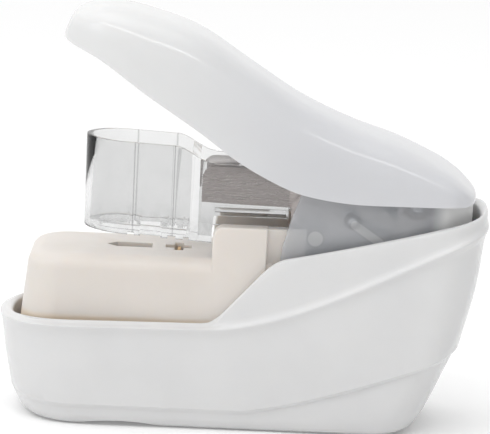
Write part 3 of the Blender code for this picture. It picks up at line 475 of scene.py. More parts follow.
@dataclass(frozen=True)
class ClearPlastic:
    """A clear moulded plastic with faint flow lines and handling haze.

    Attributes:
        name: The material's name.
        colour: The tint of the light that passes.
        roughness: In clean places.
        haze: Added where the surface is handled.
        seams: Places along X of fine upright seam lines.
    """

    name: str
    colour: Colour
    roughness: float = 0.02
    haze: float = 0.06
    seams: tuple[float, ...] = ()

    def material(self) -> bpy.types.Material:
        """Build the material."""
        graph = Graph.of_material(self.name)
        flow = graph.noise(160.0, 3.0, (1.0, 1.0, 3.0))
        smear = graph.span(graph.noise(420.0, 4.0), 0.55, 0.80)
        tint = tuple(0.94 * c for c in self.colour)
        colour = graph.mix(smear, self.colour, tint)
        # Painted shade: darker in cloudy patches low on the guard, where the shaded table and
        # cheeks show through it.
        low = graph.span(graph.axis("Z") * -1.0, -0.0450, -0.0405)
        cloud = graph.span(graph.noise(600.0, 3.0), 0.40, 0.70)
        colour = graph.mix(low * cloud * 0.7, colour, tuple(0.80 * c for c in self.colour))
        for seam in self.seams:
            off = graph.node("ShaderNodeMath", {"operation": "ABSOLUTE"},
                             {0: graph.axis("X") - seam})
            line = graph.span(off * -1.0, -0.00016, -0.00008)
            colour = graph.mix(line * 0.8, colour, tuple(0.62 * c for c in self.colour))
        graph.principled(Base_Color=colour, Roughness=self.roughness + self.haze * smear,
                         Transmission_Weight=1.0, IOR=1.32)
        graph.bump(flow, 0.35, 0.00003)
        return graph.owner


class MetalGrain(Enum):
    """How a metal's surface was worked."""

    ROLLED = (1.0, 26.0, 26.0)
    DRAWN = (30.0, 3.0, 30.0)
    GROUND = (14.0, 14.0, 1.0)
    PLATED = (1.0, 1.0, 1.0)


@dataclass(frozen=True)
class Metal:
    """A metal with a worked grain, handling marks and brighter edges.

    Attributes:
        name: The material's name.
        colour: The clean metal.
        dull: Where it has dulled.
        bright: Along its edges.
        roughness: The mean roughness.
        grain: How the surface was worked.
    """

    name: str
    colour: Colour
    dull: Colour
    bright: Colour
    roughness: float = 0.26
    grain: MetalGrain = MetalGrain.PLATED

    def material(self) -> bpy.types.Material:
        """Build the material."""
        graph = Graph.of_material(self.name)
        lines = graph.noise(260.0, 3.0, self.grain.value)
        cloud = graph.span(graph.noise(70.0, 2.0), 0.25, 0.85)
        stain = cloud * 0.5 + lines * 0.5
        colour = graph.mix(stain, self.colour, self.dull)
        colour = graph.mix(graph.worn_edges(0.0002) * 0.6, colour, self.bright)
        graph.principled(Base_Color=colour, Metallic=1.0,
                         Roughness=self.roughness - 0.08 + 0.12 * lines + 0.10 * stain)
        graph.bump(lines, 0.4, 0.000012)
        return graph.owner


FINISHES: dict[Slot, Union[MouldedPlastic, MilkyPlastic, ClearPlastic, Metal]] = {
    Slot.SHELL: MouldedPlastic("white_moulding", (0.715, 0.715, 0.715), (0.685, 0.685, 0.687),
                               roughness=0.22, glow=0.05),
    # Cover: the bluish colour towards the back is painted shade of the mechanism behind the wall.
    Slot.COVER: MilkyPlastic("milky_moulding", (0.745, 0.746, 0.744), (0.620, 0.625, 0.648),
                             (-0.025, 0.018), roughness=0.17, glow=0.15),
    # Skirt: see-through in front, with painted shade of the steel arm behind it and painted light
    # at the stop peg and the drive pin's slot.
    Slot.FRAME: MilkyPlastic("milky_skirt", (0.62, 0.64, 0.67), (0.76, 0.76, 0.75),
                             (0.0385, 0.0425), roughness=0.38, opacity=0.38, glow=0.0,
                             painted_light_patches=(((0.0148, 0.0420), (0.0148, 0.0420), 0.0016),
                                      ((0.0230, 0.0453), (0.0283, 0.0418), 0.0009))),
    # The cream table's warm colour low down is painted glow, for light that bounces about in the
    # plastic and shows in its slots.
    Slot.TABLE: MouldedPlastic("cream_moulding", (0.735, 0.690, 0.645), (0.705, 0.655, 0.605),
                               roughness=0.40, glow=0.35, painted_low_glow=(0.80, 0.64, 0.46),
                               painted_low_glow_heights=(0.0240, 0.0225)),
    Slot.GUARD: ClearPlastic("clear_moulding", (0.805, 0.807, 0.807),
                             seams=GUARD_SEAMS),
    Slot.SHEET: Metal("pressed_steel", (0.43, 0.395, 0.385), (0.34, 0.31, 0.30),
                      (0.66, 0.64, 0.62), roughness=0.26, grain=MetalGrain.ROLLED),
    Slot.PIN: Metal("pin_steel", (0.60, 0.60, 0.61), (0.48, 0.48, 0.49), (0.80, 0.80, 0.80),
                    roughness=0.24, grain=MetalGrain.DRAWN),
    Slot.SPRING: Metal("spring_wire", (0.44, 0.44, 0.45), (0.33, 0.33, 0.34), (0.66, 0.66, 0.66),
                       roughness=0.30, grain=MetalGrain.PLATED),
    Slot.BLADE: Metal("blade_steel", (0.62, 0.62, 0.64), (0.50, 0.50, 0.52), (0.88, 0.88, 0.88),
                      roughness=0.22, grain=MetalGrain.GROUND),
    Slot.COATED: Metal("coated_steel", (0.66, 0.38, 0.10), (0.52, 0.28, 0.07), (0.86, 0.60, 0.25),
                       roughness=0.28, grain=MetalGrain.GROUND),
    Slot.SCREW: Metal("zinc_plating", (0.62, 0.63, 0.66), (0.50, 0.52, 0.55), (0.85, 0.85, 0.86),
                      roughness=0.30, grain=MetalGrain.PLATED),
    Slot.GREY: MouldedPlastic("grey_moulding", (0.30, 0.30, 0.31), (0.25, 0.25, 0.26),
                              roughness=0.46),
}


class Wardrobe:
    """The finished materials, one for each slot, made when first asked for."""

    def __init__(self) -> None:
        """Start with no material made."""
        self.made: dict[Slot, bpy.types.Material] = {}

    def take(self, slot: Slot) -> bpy.types.Material:
        """The material of a slot.

        Args:
            slot: Which slot.

        Returns:
            Its material.
        """
        if slot not in self.made:
            self.made[slot] = FINISHES[slot].material()
        return self.made[slot]


# Mesh helpers


def new_object(name: str, mesh: bpy.types.ID) -> bpy.types.Object:
    """Link a new object for a mesh or curve.

    Args:
        name: The object's name.
        mesh: Its data.

    Returns:
        The object.
    """
    item = bpy.data.objects.new(name, mesh)
    bpy.context.scene.collection.objects.link(item)
    return item


def freeze(item: bpy.types.Object) -> bpy.types.Object:
    """Apply an object's modifiers, or turn a curve into a mesh, keeping its place.

    Args:
        item: The object.

    Returns:
        The object, or the mesh object that took a curve's place.
    """
    bpy.context.view_layer.update()
    graph = bpy.context.evaluated_depsgraph_get()
    mesh = bpy.data.meshes.new_from_object(item.evaluated_get(graph))
    if item.type == "MESH":
        item.modifiers.clear()
        item.data = mesh
        return item
    mesh.transform(item.matrix_world)
    name = item.name
    bpy.data.objects.remove(item, do_unlink=True)
    return new_object(name, mesh)


def from_bmesh(name: str, shape: bmesh.types.BMesh) -> bpy.types.Object:
    """Close a bmesh into an object with its faces turned outwards.

    Args:
        name: The object's name.
        shape: The bmesh, which is freed.

    Returns:
        The object.
    """
    shape.normal_update()
    bmesh.ops.recalc_face_normals(shape, faces=shape.faces)
    mesh = bpy.data.meshes.new(name)
    shape.to_mesh(mesh)
    shape.free()
    return new_object(name, mesh)


def loft(name: str, rings: Sequence[Sequence[Place]]) -> bpy.types.Object:
    """Close a stack of equally long rings into one solid.

    Args:
        name: The object's name.
        rings: The rings, each a list of points.

    Returns:
        The object.
    """
    shape = bmesh.new()
    rows = [[shape.verts.new(point) for point in ring] for ring in rings]
    count = len(rows[0])
    for low, high in zip(rows, rows[1:]):
        for i in range(count):
            j = (i + 1) % count
            shape.faces.new((low[i], low[j], high[j], high[i]))
    shape.faces.new(list(reversed(rows[0])))
    shape.faces.new(rows[-1])
    bmesh.ops.remove_doubles(shape, verts=shape.verts, dist=1e-7)
    return from_bmesh(name, shape)


def refine(rings: Sequence[Sequence[Place]], corners: Iterable[int], steps: int) -> list:
    """Fill smoothly between key rings.

    Args:
        rings: The key rings.
        corners: The rings where the section turns sharply.
        steps: New rings for each gap.

    Returns:
        The denser stack.
    """
    keys = np.array(rings, float)
    sharp = set(corners)
    out = [keys[0]]
    last = len(keys) - 1
    for i in range(last):
        a, b = keys[i], keys[i + 1]
        before = 2 * a - b if i == 0 or i in sharp else keys[i - 1]
        after = 2 * b - a if i + 1 == last or i + 1 in sharp else keys[i + 2]
        gaps = [np.sqrt(np.linalg.norm(q - p, axis=1, keepdims=True)) + 1e-9
                for p, q in ((before, a), (a, b), (b, after))]
        t0 = np.zeros_like(gaps[0])
        t1, t2 = t0 + gaps[0], t0 + gaps[0] + gaps[1]
        t3 = t2 + gaps[2]
        for k in range(1, steps + 1):
            t = t1 + (t2 - t1) * k / steps
            a1 = (t1 - t) / (t1 - t0) * before + (t - t0) / (t1 - t0) * a
            a2 = (t2 - t) / (t2 - t1) * a + (t - t1) / (t2 - t1) * b
            a3 = (t3 - t) / (t3 - t2) * b + (t - t2) / (t3 - t2) * after
            b1 = (t2 - t) / (t2 - t0) * a1 + (t - t0) / (t2 - t0) * a2
            b2 = (t3 - t) / (t3 - t1) * a2 + (t - t1) / (t3 - t1) * a3
            out.append((t2 - t) / (t2 - t1) * b1 + (t - t1) / (t2 - t1) * b2)
    return [[tuple(p) for p in ring] for ring in out]


def arc(centre: Point, radius: float, start: float, end: float, steps: int) -> list[Point]:
    """Points of an arc.

    Args:
        centre: Its centre.
        radius: Its radius.
        start: The first angle in degrees, from +u towards +v.
        end: The last angle in degrees.
        steps: The number of pieces.

    Returns:
        The points.
    """
    angles = [math.radians(start + (end - start) * i / steps) for i in range(steps + 1)]
    return [(centre[0] + radius * math.cos(a), centre[1] + radius * math.sin(a)) for a in angles]


def rounded_box(x_low: float, x_high: float, half: float, radius: float) -> list[Point]:
    """A rectangle with round corners, centred on the X axis, seen from above."""
    outline = arc((x_high - radius, half - radius), radius, 0, 90, 8)
    outline += arc((x_low + radius, half - radius), radius, 90, 180, 8)
    outline += arc((x_low + radius, radius - half), radius, 180, 270, 8)
    return outline + arc((x_high - radius, radius - half), radius, 270, 360, 8)


def plate(name: str, outlines: Sequence[Sequence[Point]], low: float, high: float,
          axis: Axis = Axis.Y, edge: float = 0.0) -> bpy.types.Object:
    """Extrude flat outlines, with rounded edges.

    Args:
        name: The object's name.
        outlines: The outside, then the holes.
        low: Where the plate starts along the axis.
        high: Where it ends.
        axis: Y draws in XZ, Z draws in XY and X draws in YZ.
        edge: The radius of its edges.

    Returns:
        The object.
    """
    curve = bpy.data.curves.new(name, "CURVE")
    curve.dimensions = "2D"
    curve.fill_mode = "BOTH"
    curve.extrude = (high - low) / 2 - edge
    curve.bevel_depth = edge
    curve.bevel_resolution = 2 if edge else 0
    curve.offset = -edge
    for outline in outlines:
        spline = curve.splines.new("POLY")
        spline.points.add(len(outline) - 1)
        for point, (u, v) in zip(spline.points, outline):
            point.co = (u, v, 0, 1)
        spline.use_cyclic_u = True
    flat = new_object(name, curve)
    middle = (low + high) / 2
    if axis is Axis.Y:
        flat.location, flat.rotation_euler = (0, middle, 0), (math.pi / 2, 0, 0)
    elif axis is Axis.X:
        flat.location, flat.rotation_euler = (middle, 0, 0), (math.pi / 2, 0, math.pi / 2)
    else:
        flat.location = (0, 0, middle)
    item = freeze(flat)
    shape = bmesh.new()
    shape.from_mesh(item.data)
    bmesh.ops.remove_doubles(shape, verts=shape.verts, dist=1e-6)
    shape.normal_update()
    bmesh.ops.recalc_face_normals(shape, faces=shape.faces)
    shape.to_mesh(item.data)
    shape.free()
    return item


def turned(name: str, centre: Point, profile: Sequence[Point], axis: Axis,
           sides: int = 40) -> bpy.types.Object:
    """A turned piece: a profile of (radius, place) spun about an axis.

    Args:
        name: The object's name.
        centre: (x, z) for an axis along Y, (x, y) for one along Z.
        profile: From one end to the other; both ends are closed.
        axis: Y or Z.
        sides: The number of sides.

    Returns:
        The object.
    """
    rings = []
    for radius, along in profile:
        ring = []
        for i in range(sides):
            a = 2 * math.pi * i / sides
            u, v = centre[0] + radius * math.cos(a), centre[1] + radius * math.sin(a)
            ring.append((u, along, v) if axis is Axis.Y else (u, v, along))
        rings.append(ring)
    return loft(name, rings)


def pin_profile(radius: float, low: float, high: float, edge: float) -> list[Point]:
    """The profile of a pin with rounded ends."""
    start = [(radius - edge + edge * math.sin(a), low + edge - edge * math.cos(a))
             for a in (0.0, math.pi / 6, math.pi / 3, math.pi / 2)]
    return start + [(r, low + high - t) for r, t in reversed(start)]


def carve(item: bpy.types.Object, tools: Sequence[bpy.types.Object],
          operation: str = "DIFFERENCE") -> bpy.types.Object:
    """Cut an object with tools or join them to it; the tools are removed.

    Args:
        item: The object to change.
        tools: The other solids.
        operation: The boolean's name.

    Returns:
        The object.
    """
    for tool in tools:
        step = item.modifiers.new(tool.name, "BOOLEAN")
        step.operation, step.object, step.solver = operation, tool, "EXACT"
    freeze(item)
    for tool in tools:
        bpy.data.objects.remove(tool, do_unlink=True)
    return item


def soften(item: bpy.types.Object, width: float, angle: float = 32.0,
           segments: int = 2) -> bpy.types.Object:
    """Round the edges that are sharper than an angle.

    Args:
        item: The object.
        width: The width of the round.
        angle: The smallest angle in degrees.
        segments: How many strips the round has.

    Returns:
        The object.
    """
    shape = bmesh.new()
    shape.from_mesh(item.data)
    bmesh.ops.remove_doubles(shape, verts=shape.verts, dist=2e-6)
    bmesh.ops.dissolve_limit(shape, angle_limit=math.radians(0.5), verts=shape.verts,
                             edges=shape.edges)
    shape.to_mesh(item.data)
    shape.free()
    bevel = item.modifiers.new("edges", "BEVEL")
    bevel.width, bevel.segments, bevel.limit_method = width, segments, "ANGLE"
    bevel.angle_limit = math.radians(angle)
    freeze(item)
    return item


def shade(item: bpy.types.Object, angle: float = 40.0) -> bpy.types.Object:
    """Shade an object smooth, except across edges sharper than an angle.

    Args:
        item: The object.
        angle: In degrees.

    Returns:
        The object.
    """
    item.data.shade_smooth()
    item.data.set_sharp_from_angle(angle=math.radians(angle))
    return item


def carried(node: str, frame: dict, edge: float) -> bpy.types.Object:
    """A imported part's own shape with rounded edges.

    Args:
        node: The part's name.
        frame: The loaded frame.
        edge: The width of its rounded edges.

    Returns:
        A new object.
    """
    mesh = frame["nodes"][node].data.copy()
    mesh.materials.clear()
    if "custom_normal" in mesh.attributes:
        mesh.attributes.remove(mesh.attributes["custom_normal"])
    return soften(new_object(f"fine_{node}", mesh), edge)


def coil(name: str, points: Sequence[Place], radius: float) -> bpy.types.Object:
    """A round wire through points, with closed ends.

    Args:
        name: The object's name.
        points: The middle line.
        radius: The wire's radius.

    Returns:
        The mesh object.
    """
    curve = bpy.data.curves.new(name, "CURVE")
    curve.dimensions = "3D"
    curve.bevel_depth, curve.bevel_resolution, curve.use_fill_caps = radius, 3, True
    spline = curve.splines.new("POLY")
    spline.points.add(len(points) - 1)
    for point, place in zip(spline.points, points):
        point.co = (*place, 1)
    return freeze(new_object(name, curve))


@dataclass
class Bench:
    """Where finished pieces are dressed and put on their bodies.

    Attributes:
        frame: The loaded frame.
        wardrobe: The materials.
    """

    frame: dict
    wardrobe: Wardrobe

    def fit(self, item: bpy.types.Object, body: Body, slot: Slot, *nodes: str) -> bpy.types.Object:
        """Dress a piece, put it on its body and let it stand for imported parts.

        Args:
            item: The finished piece.
            body: The body that it rides on.
            slot: The slot that its finish comes from.
            nodes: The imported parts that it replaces.

        Returns:
            The piece.
        """
        item.data.materials.clear()
        item.data.materials.append(self.wardrobe.take(slot))
        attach(item, body.value)
        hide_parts(*nodes)
        LOG.info("%s: %d faces on %s", item.name, len(item.data.polygons), body.value)
        return item

    def carry(self, node: str, body: Body, slot: Slot, edge: float) -> bpy.types.Object:
        """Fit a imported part's own shape with rounded edges.

        Args:
            node: The part's name.
            body: The body that it rides on.
            slot: The slot of its finish.
            edge: The width of its rounded edges.

        Returns:
            The piece.
        """
        return self.fit(shade(carried(node, self.frame, edge)), body, slot, node)

    def pin(self, node: str, body: Body, place: Point, radius: float, reach: float,
            edge: float, sides: int = 40) -> bpy.types.Object:
        """Fit a pin along Y with rounded ends.

        Args:
            node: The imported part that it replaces.
            body: The body that it rides on.
            place: (x, z) of its axis.
            radius: Its radius.
            reach: Half its length.
            edge: The radius of its rounded ends.
            sides: The number of sides.

        Returns:
            The pin.
        """
        spun = turned(f"fine_{node}", place, pin_profile(radius, -reach, reach, edge), Axis.Y,
                      sides)
        return self.fit(shade(spun), body, Slot.PIN, node)


# The base


@dataclass
class BaseShell:
    """The white lower casing with its rim step, two creases and a well.

    Attributes:
        half: Half its width.
        well_half: Half the width of its well.
        step_low: Where the rim starts to rise.
        step_high: Where the steep part of the rise ends.
        rim_front: The rim's height in front.
        rim_top: Its height at the end of the step.
        nose_steps: Points round the nose.
        side_steps: Points along a side.
        tail_steps: Points round the tail.
    """

    half: float = 0.0184
    well_half: float = 0.0154
    step_low: float = -0.0062
    step_high: float = 0.0065
    rim_front: float = 0.0231
    rim_top: float = 0.0372
    nose_steps: int = 20
    side_steps: int = 84
    tail_steps: int = 16

    def rim(self, x: float) -> float:
        """The rim's height: low in front, a rounded step, then a long rise to the hinge."""
        slope = (self.rim_top - self.rim_front) / (self.step_high - self.step_low)
        if x <= self.step_low:
            height = self.rim_front - 0.0008 * (self.step_low - x) / (self.step_low - FRONT)
        elif x <= self.step_high:
            height = self.rim_front + slope * (x - self.step_low)
        else:
            run = x - self.step_high
            height = self.rim_top + 0.2 * run + run ** 2
        for corner, turn, reach in ((self.step_low, slope, 0.0008),
                                    (self.step_high, 0.2 - slope, 0.0026)):
            height += turn * max(0.0, reach - abs(x - corner)) ** 2 / (4 * reach)
        return height

    def upper_crease(self, x: float) -> float:
        """The ridge that leaves the low rim and sweeps up to the back."""
        if x <= self.step_low:
            return self.rim(x) - 0.0009
        t = (x - self.step_low) / (REAR - self.step_low)
        low = self.rim_front - 0.0009
        return low + (0.0448 - low) * (1.25 * t ** 1.6 - 0.25 * t ** 4)

    @staticmethod
    def lower_crease(x: float) -> float:
        """The shallow step in the side, near the foot in front and higher at the back."""
        rise = 0.014 * max(0.0, x / (REAR - 0.0055)) ** 1.35
        return 0.0045 + rise + 0.0012 * max(0.0, (FRONT + 0.012 - x) / 0.012)

    def ring(self, front: float, rear: float, half: float, nose: float, tail: float,
             height: Height) -> list[Place]:
        """One closed ring of the hull.

        Args:
            front: How far it stands back from the front end.
            rear: How far it stands back from the rear end.
            half: Half its width.
            nose: The length of its round nose.
            tail: The length of its round tail.
            height: Its height, or the height as a function of x.

        Returns:
            The ring's points.
        """
        side: list[Point] = []
        for k in range(self.nose_steps):
            t = math.radians(90 * k / self.nose_steps)
            side.append((FRONT + front + nose * (1 - math.cos(t) ** (2 / 2.4)),
                         half * math.sin(t) ** (2 / 2.4)))
        start, end = FRONT + front + nose, REAR - rear - tail
        side += [(start + (end - start) * k / self.side_steps, half)
                 for k in range(self.side_steps + 1)]
        for k in range(1, self.tail_steps):
            t = math.radians(90 * k / self.tail_steps)
            side.append((REAR - rear - tail * (1 - math.sin(t) ** (2 / 2.8)),
                         half * math.cos(t) ** (2 / 2.8)))
        side.append((REAR - rear, 0.0))
        loop = side + [(x, -y) for x, y in reversed(side[1:-1])]
        return [(x, y, height(x) if callable(height) else height) for x, y in loop]

    def hull(self) -> bpy.types.Object:
        """The hull with its well, before any hole is cut."""
        def middle(x: float) -> float:
            return (self.lower_crease(x) + self.upper_crease(x)) / 2

        def below(line: Callable[[float], float], drop: float) -> Callable[[float], float]:
            return lambda x: line(x) - drop

        def flank(share: float, most: float) -> Callable[[float], float]:
            return lambda x: crease(x) + min(most, share * (rim(x) - crease(x)))

        rim, crease, belt = self.rim, self.upper_crease, self.lower_crease
        outer = [
            (0.0090, 0.0185, 0.0042, 0.010, 0.008, 0.0),
            (0.0067, 0.0160, 0.0028, 0.012, 0.009, 0.0005),
            (0.0049, 0.0137, 0.0016, 0.014, 0.010, 0.0019),
            (0.0032, 0.0060, 0.0013, 0.016, 0.011, below(belt, 0.0004)),
            (0.0028, 0.0051, 0.0006, 0.016, 0.011, below(belt, -0.0004)),
            (0.0013, 0.0020, 0.0006, 0.017, 0.012, middle),
            (0.0007, 0.0009, 0.0008, 0.018, 0.012, below(crease, 0.0034)),
            (0.0004, 0.0005, 0.0006, 0.018, 0.012, below(crease, 0.0015)),
            (0.0001, 0.0001, 0.00015, 0.018, 0.012, below(crease, 0.0005)),
            (0.0, 0.0, 0.0, 0.018, 0.012, crease),
            (0.0001, 0.0001, 0.0002, 0.018, 0.012, flank(0.12, 0.0004)),
            (0.0003, 0.0002, 0.0006, 0.018, 0.012, flank(0.28, 0.0009)),
            (0.0005, 0.0003, 0.0010, 0.018, 0.012, flank(0.42, 0.0018)),
            (0.0008, 0.0004, 0.0013, 0.018, 0.012, below(rim, 0.0004)),
            (0.0015, 0.0007, 0.0018, 0.018, 0.012, rim),
        ]
        inner = [
            (0.0022, 0.0014, -0.0004, 0.012, 0.0085, below(rim, 0.0001)),
            (0.0028, 0.0020, -0.0001, 0.010, 0.0070, below(rim, 0.0006)),
            (0.0029, 0.0022, 0.0, 0.010, 0.0070, below(rim, 0.0018)),
            (0.0033, 0.0028, 0.0, 0.010, 0.0070, middle),
            (0.0054, 0.0080, 0.0, 0.009, 0.009, below(belt, -0.0012)),
            (0.0072, 0.0156, 0.0006, 0.008, 0.008, FLOOR_TOP),
        ]
        rings = [self.ring(a, b, self.half - c, d, e, h) for a, b, c, d, e, h in outer]
        rings += [self.ring(a, b, self.well_half - c, d, e, h) for a, b, c, d, e, h in inner]
        return loft("fine_base_shell", refine(rings, (0, 3, 4, 19, 20), 4))

    def tools(self) -> list[bpy.types.Object]:
        """The cutters of the finger arch, the lid's recess, the window and the screw holes."""
        chord, sag = 0.0205, 0.0012
        radius = (chord ** 2 / 4 + sag ** 2) / (2 * sag)
        arch = turned("finger_arch", (FRONT + 0.02675, sag - radius),
                      [(radius, -0.04), (radius, 0.04)], Axis.Y, 360)
        recess = plate("recess", [rounded_box(-0.0123, 0.0298, 0.0118, 0.0023)], -0.001, 0.0019,
                       Axis.Z)
        window = plate("window", [rounded_box(-0.010, 0.012, 0.0085, 0.0015)], 0.0,
                       FLOOR_TOP + 0.001, Axis.Z)
        bores = [(place, 0.0) for place in LidAndScrews.lid_places()]
        bores += [(place, 0.0022) for place in LidAndScrews.floor_places().values()]
        threads = [turned(f"thread_{i}", place, [(0.0012, foot), (0.0012, 0.006)], Axis.Z, 24)
                   for i, (place, foot) in enumerate(bores)]
        return [arch, recess, window] + threads

    def build(self, bench: Bench) -> None:
        """Build the casing and fit it."""
        shell = carve(self.hull(), self.tools())
        profile = [(0.0016, FLOOR_TOP - 0.001), (0.0012, 0.0073), (0.0010, 0.0075)]
        posts = [turned(f"post_{i}", (SPRING_X, y), profile, Axis.Z, 28)
                 for i, y in enumerate((-PAIR_SIDE, PAIR_SIDE))]
        carve(shell, posts, "UNION")
        bench.fit(shade(shell, 38.0), Body.BASE, Slot.SHELL, "base_shell")


@dataclass
class LidAndScrews:
    """The lid under the base, and every screw of the stapler.

    Attributes:
        head_radius: Of every screw.
        head_height: Of every screw.
        shank_radius: Of every screw.
    """

    head_radius: float = 0.0018
    head_height: float = 0.0009
    shank_radius: float = 0.0009

    @staticmethod
    def lid_places() -> list[Point]:
        """The four corners of the lid."""
        return [(x, side * 0.0093) for x in (-0.0098, 0.0273) for side in (-1, 1)]

    @staticmethod
    def floor_places() -> dict[str, Point]:
        """The screws that go down into the floor."""
        return {"bracket_screw_1": (0.0195, -0.0045), "bracket_screw_2": (0.0195, 0.0045),
                "holder_screw_1": (-0.0330, -0.0050), "holder_screw_2": (-0.0330, 0.0050)}

    def screw(self, name: str, place: Point, face: float, tip: float) -> bpy.types.Object:
        """A pan head screw along Z with a cross recess.

        Args:
            name: The piece's name.
            place: (x, y) of its axis.
            face: The height of the top of its head.
            tip: The height of its far end.

        Returns:
            The screw.
        """
        way = 1.0 if tip > face else -1.0
        r, h, s = self.head_radius, self.head_height, self.shank_radius
        profile = [(0.3 * r, 0.0), (0.70 * r, 0.02 * h), (0.88 * r, 0.12 * h),
                   (0.97 * r, 0.30 * h), (r, 0.55 * h), (r, 0.95 * h), (0.97 * r, h),
                   (1.1 * s, h), (s, 1.15 * h)]
        length = abs(tip - face)
        turns = int((length - 1.3 * h) / 0.00045)
        for i in range(turns):
            start = 1.3 * h + i * 0.00045
            profile += [(s, start), (0.80 * s, start + 0.00022)]
        profile += [(0.85 * s, length - 0.0002), (0.5 * s, length)]
        spun = turned(name, place, [(a, face + way * b) for a, b in profile], Axis.Z, 32)
        x, y = place
        tools = []
        for k, (half_x, half_y) in enumerate(((0.00105, 0.00022), (0.00022, 0.00105))):
            outline = [(x - half_x, y - half_y), (x + half_x, y - half_y),
                       (x + half_x, y + half_y), (x - half_x, y + half_y)]
            low, high = sorted((face - way * 0.0003, face + way * 0.00045))
            tools.append(plate(f"{name}_drive_{k}", [outline], low, high, Axis.Z))
        return carve(spun, tools)

    def build(self, bench: Bench) -> None:
        """Build the lid and the screws and fit them."""
        bench.carry("bottom_lid", Body.BASE, Slot.SHELL, 0.00018)
        runs = {f"lid_screw_{i + 1}": (place, 0.0003, 0.0032, Body.BASE)
                for i, place in enumerate(self.lid_places())}
        for name, place in self.floor_places().items():
            face = 0.0059 if name.startswith("bracket") else 0.0073
            runs[name] = (place, face, 0.0025, Body.BASE)
        for i, y in enumerate((-PAIR_SIDE, PAIR_SIDE)):
            runs[f"handle_screw_{i + 1}"] = ((BOSS_X, y), 0.0528, 0.0580, Body.HANDLE)
        for name, (place, face, tip, body) in runs.items():
            bench.fit(shade(self.screw(f"fine_{name}", place, face, tip), 30.0), body, Slot.SCREW,
                      name)


@dataclass
class Hinge:
    """The bracket, its two axles and the spring clips.

    Attributes:
        axle_radius: Of both axles.
        arm_reach: Half the length of the lower axle.
        handle_reach: Half the length of the upper axle.
    """

    axle_radius: float = 0.0015
    arm_reach: float = 0.0111
    handle_reach: float = 0.0134

    def build(self, bench: Bench) -> None:
        """Build the hinge's pieces and fit them."""
        bench.carry("hinge_bracket", Body.BASE, Slot.SHEET, 0.0002)
        for name in ("axle_clip_left", "axle_clip_right"):
            bench.carry(name, Body.BASE, Slot.SPRING, 0.00012)
        for name, place, reach in (("arm_axle", ARM_AXLE, self.arm_reach),
                                   ("handle_axle", HANDLE_AXLE, self.handle_reach)):
            bench.pin(name, Body.BASE, place, self.axle_radius, reach, 0.0003, 48)


@dataclass
class Cutters:
    """The blades, their holder, the tucking lever and the small pins.

    Attributes:
        pin_reach: Half the length of the punch's cross pin.
        lever_reach: Half the length of the lever's pin.
    """

    pin_reach: float = 0.0078
    lever_reach: float = 0.0039

    def build(self, bench: Bench) -> None:
        """Build the cutting pieces and fit them."""
        bench.carry("blade_holder", Body.BASE, Slot.GREY, 0.0002)
        bench.carry("punch_blade", Body.BASE, Slot.BLADE, 0.00005)
        bench.carry("slit_blade", Body.BASE, Slot.COATED, 0.00006)
        bench.carry("tucking_lever", Body.LEVER, Slot.BLADE, 0.0001)
        for name, place, reach in (("punch_pin", PUNCH_PIN, self.pin_reach),
                                   ("lever_pin", LEVER_PIN, self.lever_reach)):
            bench.pin(name, Body.BASE, place, SMALL_PIN_RADIUS, reach, 0.00015)


# The table


@dataclass
class Springs:
    """The coil springs under the table and the torsion spring on the handle's axle.

    Attributes:
        table_place: (x, y) of the left table spring.
        table_radius: Of its turns.
        table_turns: How many turns.
        low: The middle line's lowest point.
        high: Its highest point.
        seat: The height of the spring's foot; not used.
        keep: The share of its length left at full press; not used.
    """

    table_place: Point = (SPRING_X, PAIR_SIDE)
    table_radius: float = 0.0025
    table_turns: int = 7
    low: float = 0.00405
    high: float = 0.03325
    seat: float = 0.0037
    keep: float = 0.655

    def table_spring(self, name: str, side: float) -> bpy.types.Object:
        """One coil spring with closed end turns.

        Args:
            name: The piece's name.
            side: 1 for the left, -1 for the right.

        Returns:
            The spring.
        """
        points = []
        steps = 28 * self.table_turns
        for i in range(steps + 1):
            a = 2 * math.pi * self.table_turns * i / steps
            t = i / steps
            points.append((self.table_place[0] + self.table_radius * math.cos(a),
                           side * self.table_place[1] + self.table_radius * math.sin(a),
                           self.low + (self.high - self.low) * t))
        return coil(name, points, WIRE_RADIUS)

    def return_spring(self) -> bpy.types.Object:
        """The torsion spring with one leg under the handle's deck."""
        x, z = HANDLE_AXLE
        radius, half, turns = 0.00235, 0.0040, 4
        points = [(0.0295, -half, 0.05335)]
        steps = 24 * turns + 12
        for i in range(steps + 1):
            a = math.radians(90 + 15 * i)
            points.append((x + radius * math.cos(a), half * (2 * i / steps - 1),
                           z + radius * math.sin(a)))
        points.append((x + 0.0042, half, z - 0.0105))
        return coil("fine_return_spring", points, WIRE_RADIUS)

    def build(self, bench: Bench) -> None:
        """Build the springs and fit them."""
        for node, side in (("table_spring_left", 1.0), ("table_spring_right", -1.0)):
            spring = bench.fit(shade(self.table_spring(f"fine_{node}", side)), Body.BASE,
                               Slot.SPRING, node)
            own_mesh(spring)
        bench.fit(shade(self.return_spring()), Body.HANDLE, Slot.SPRING, "return_spring")


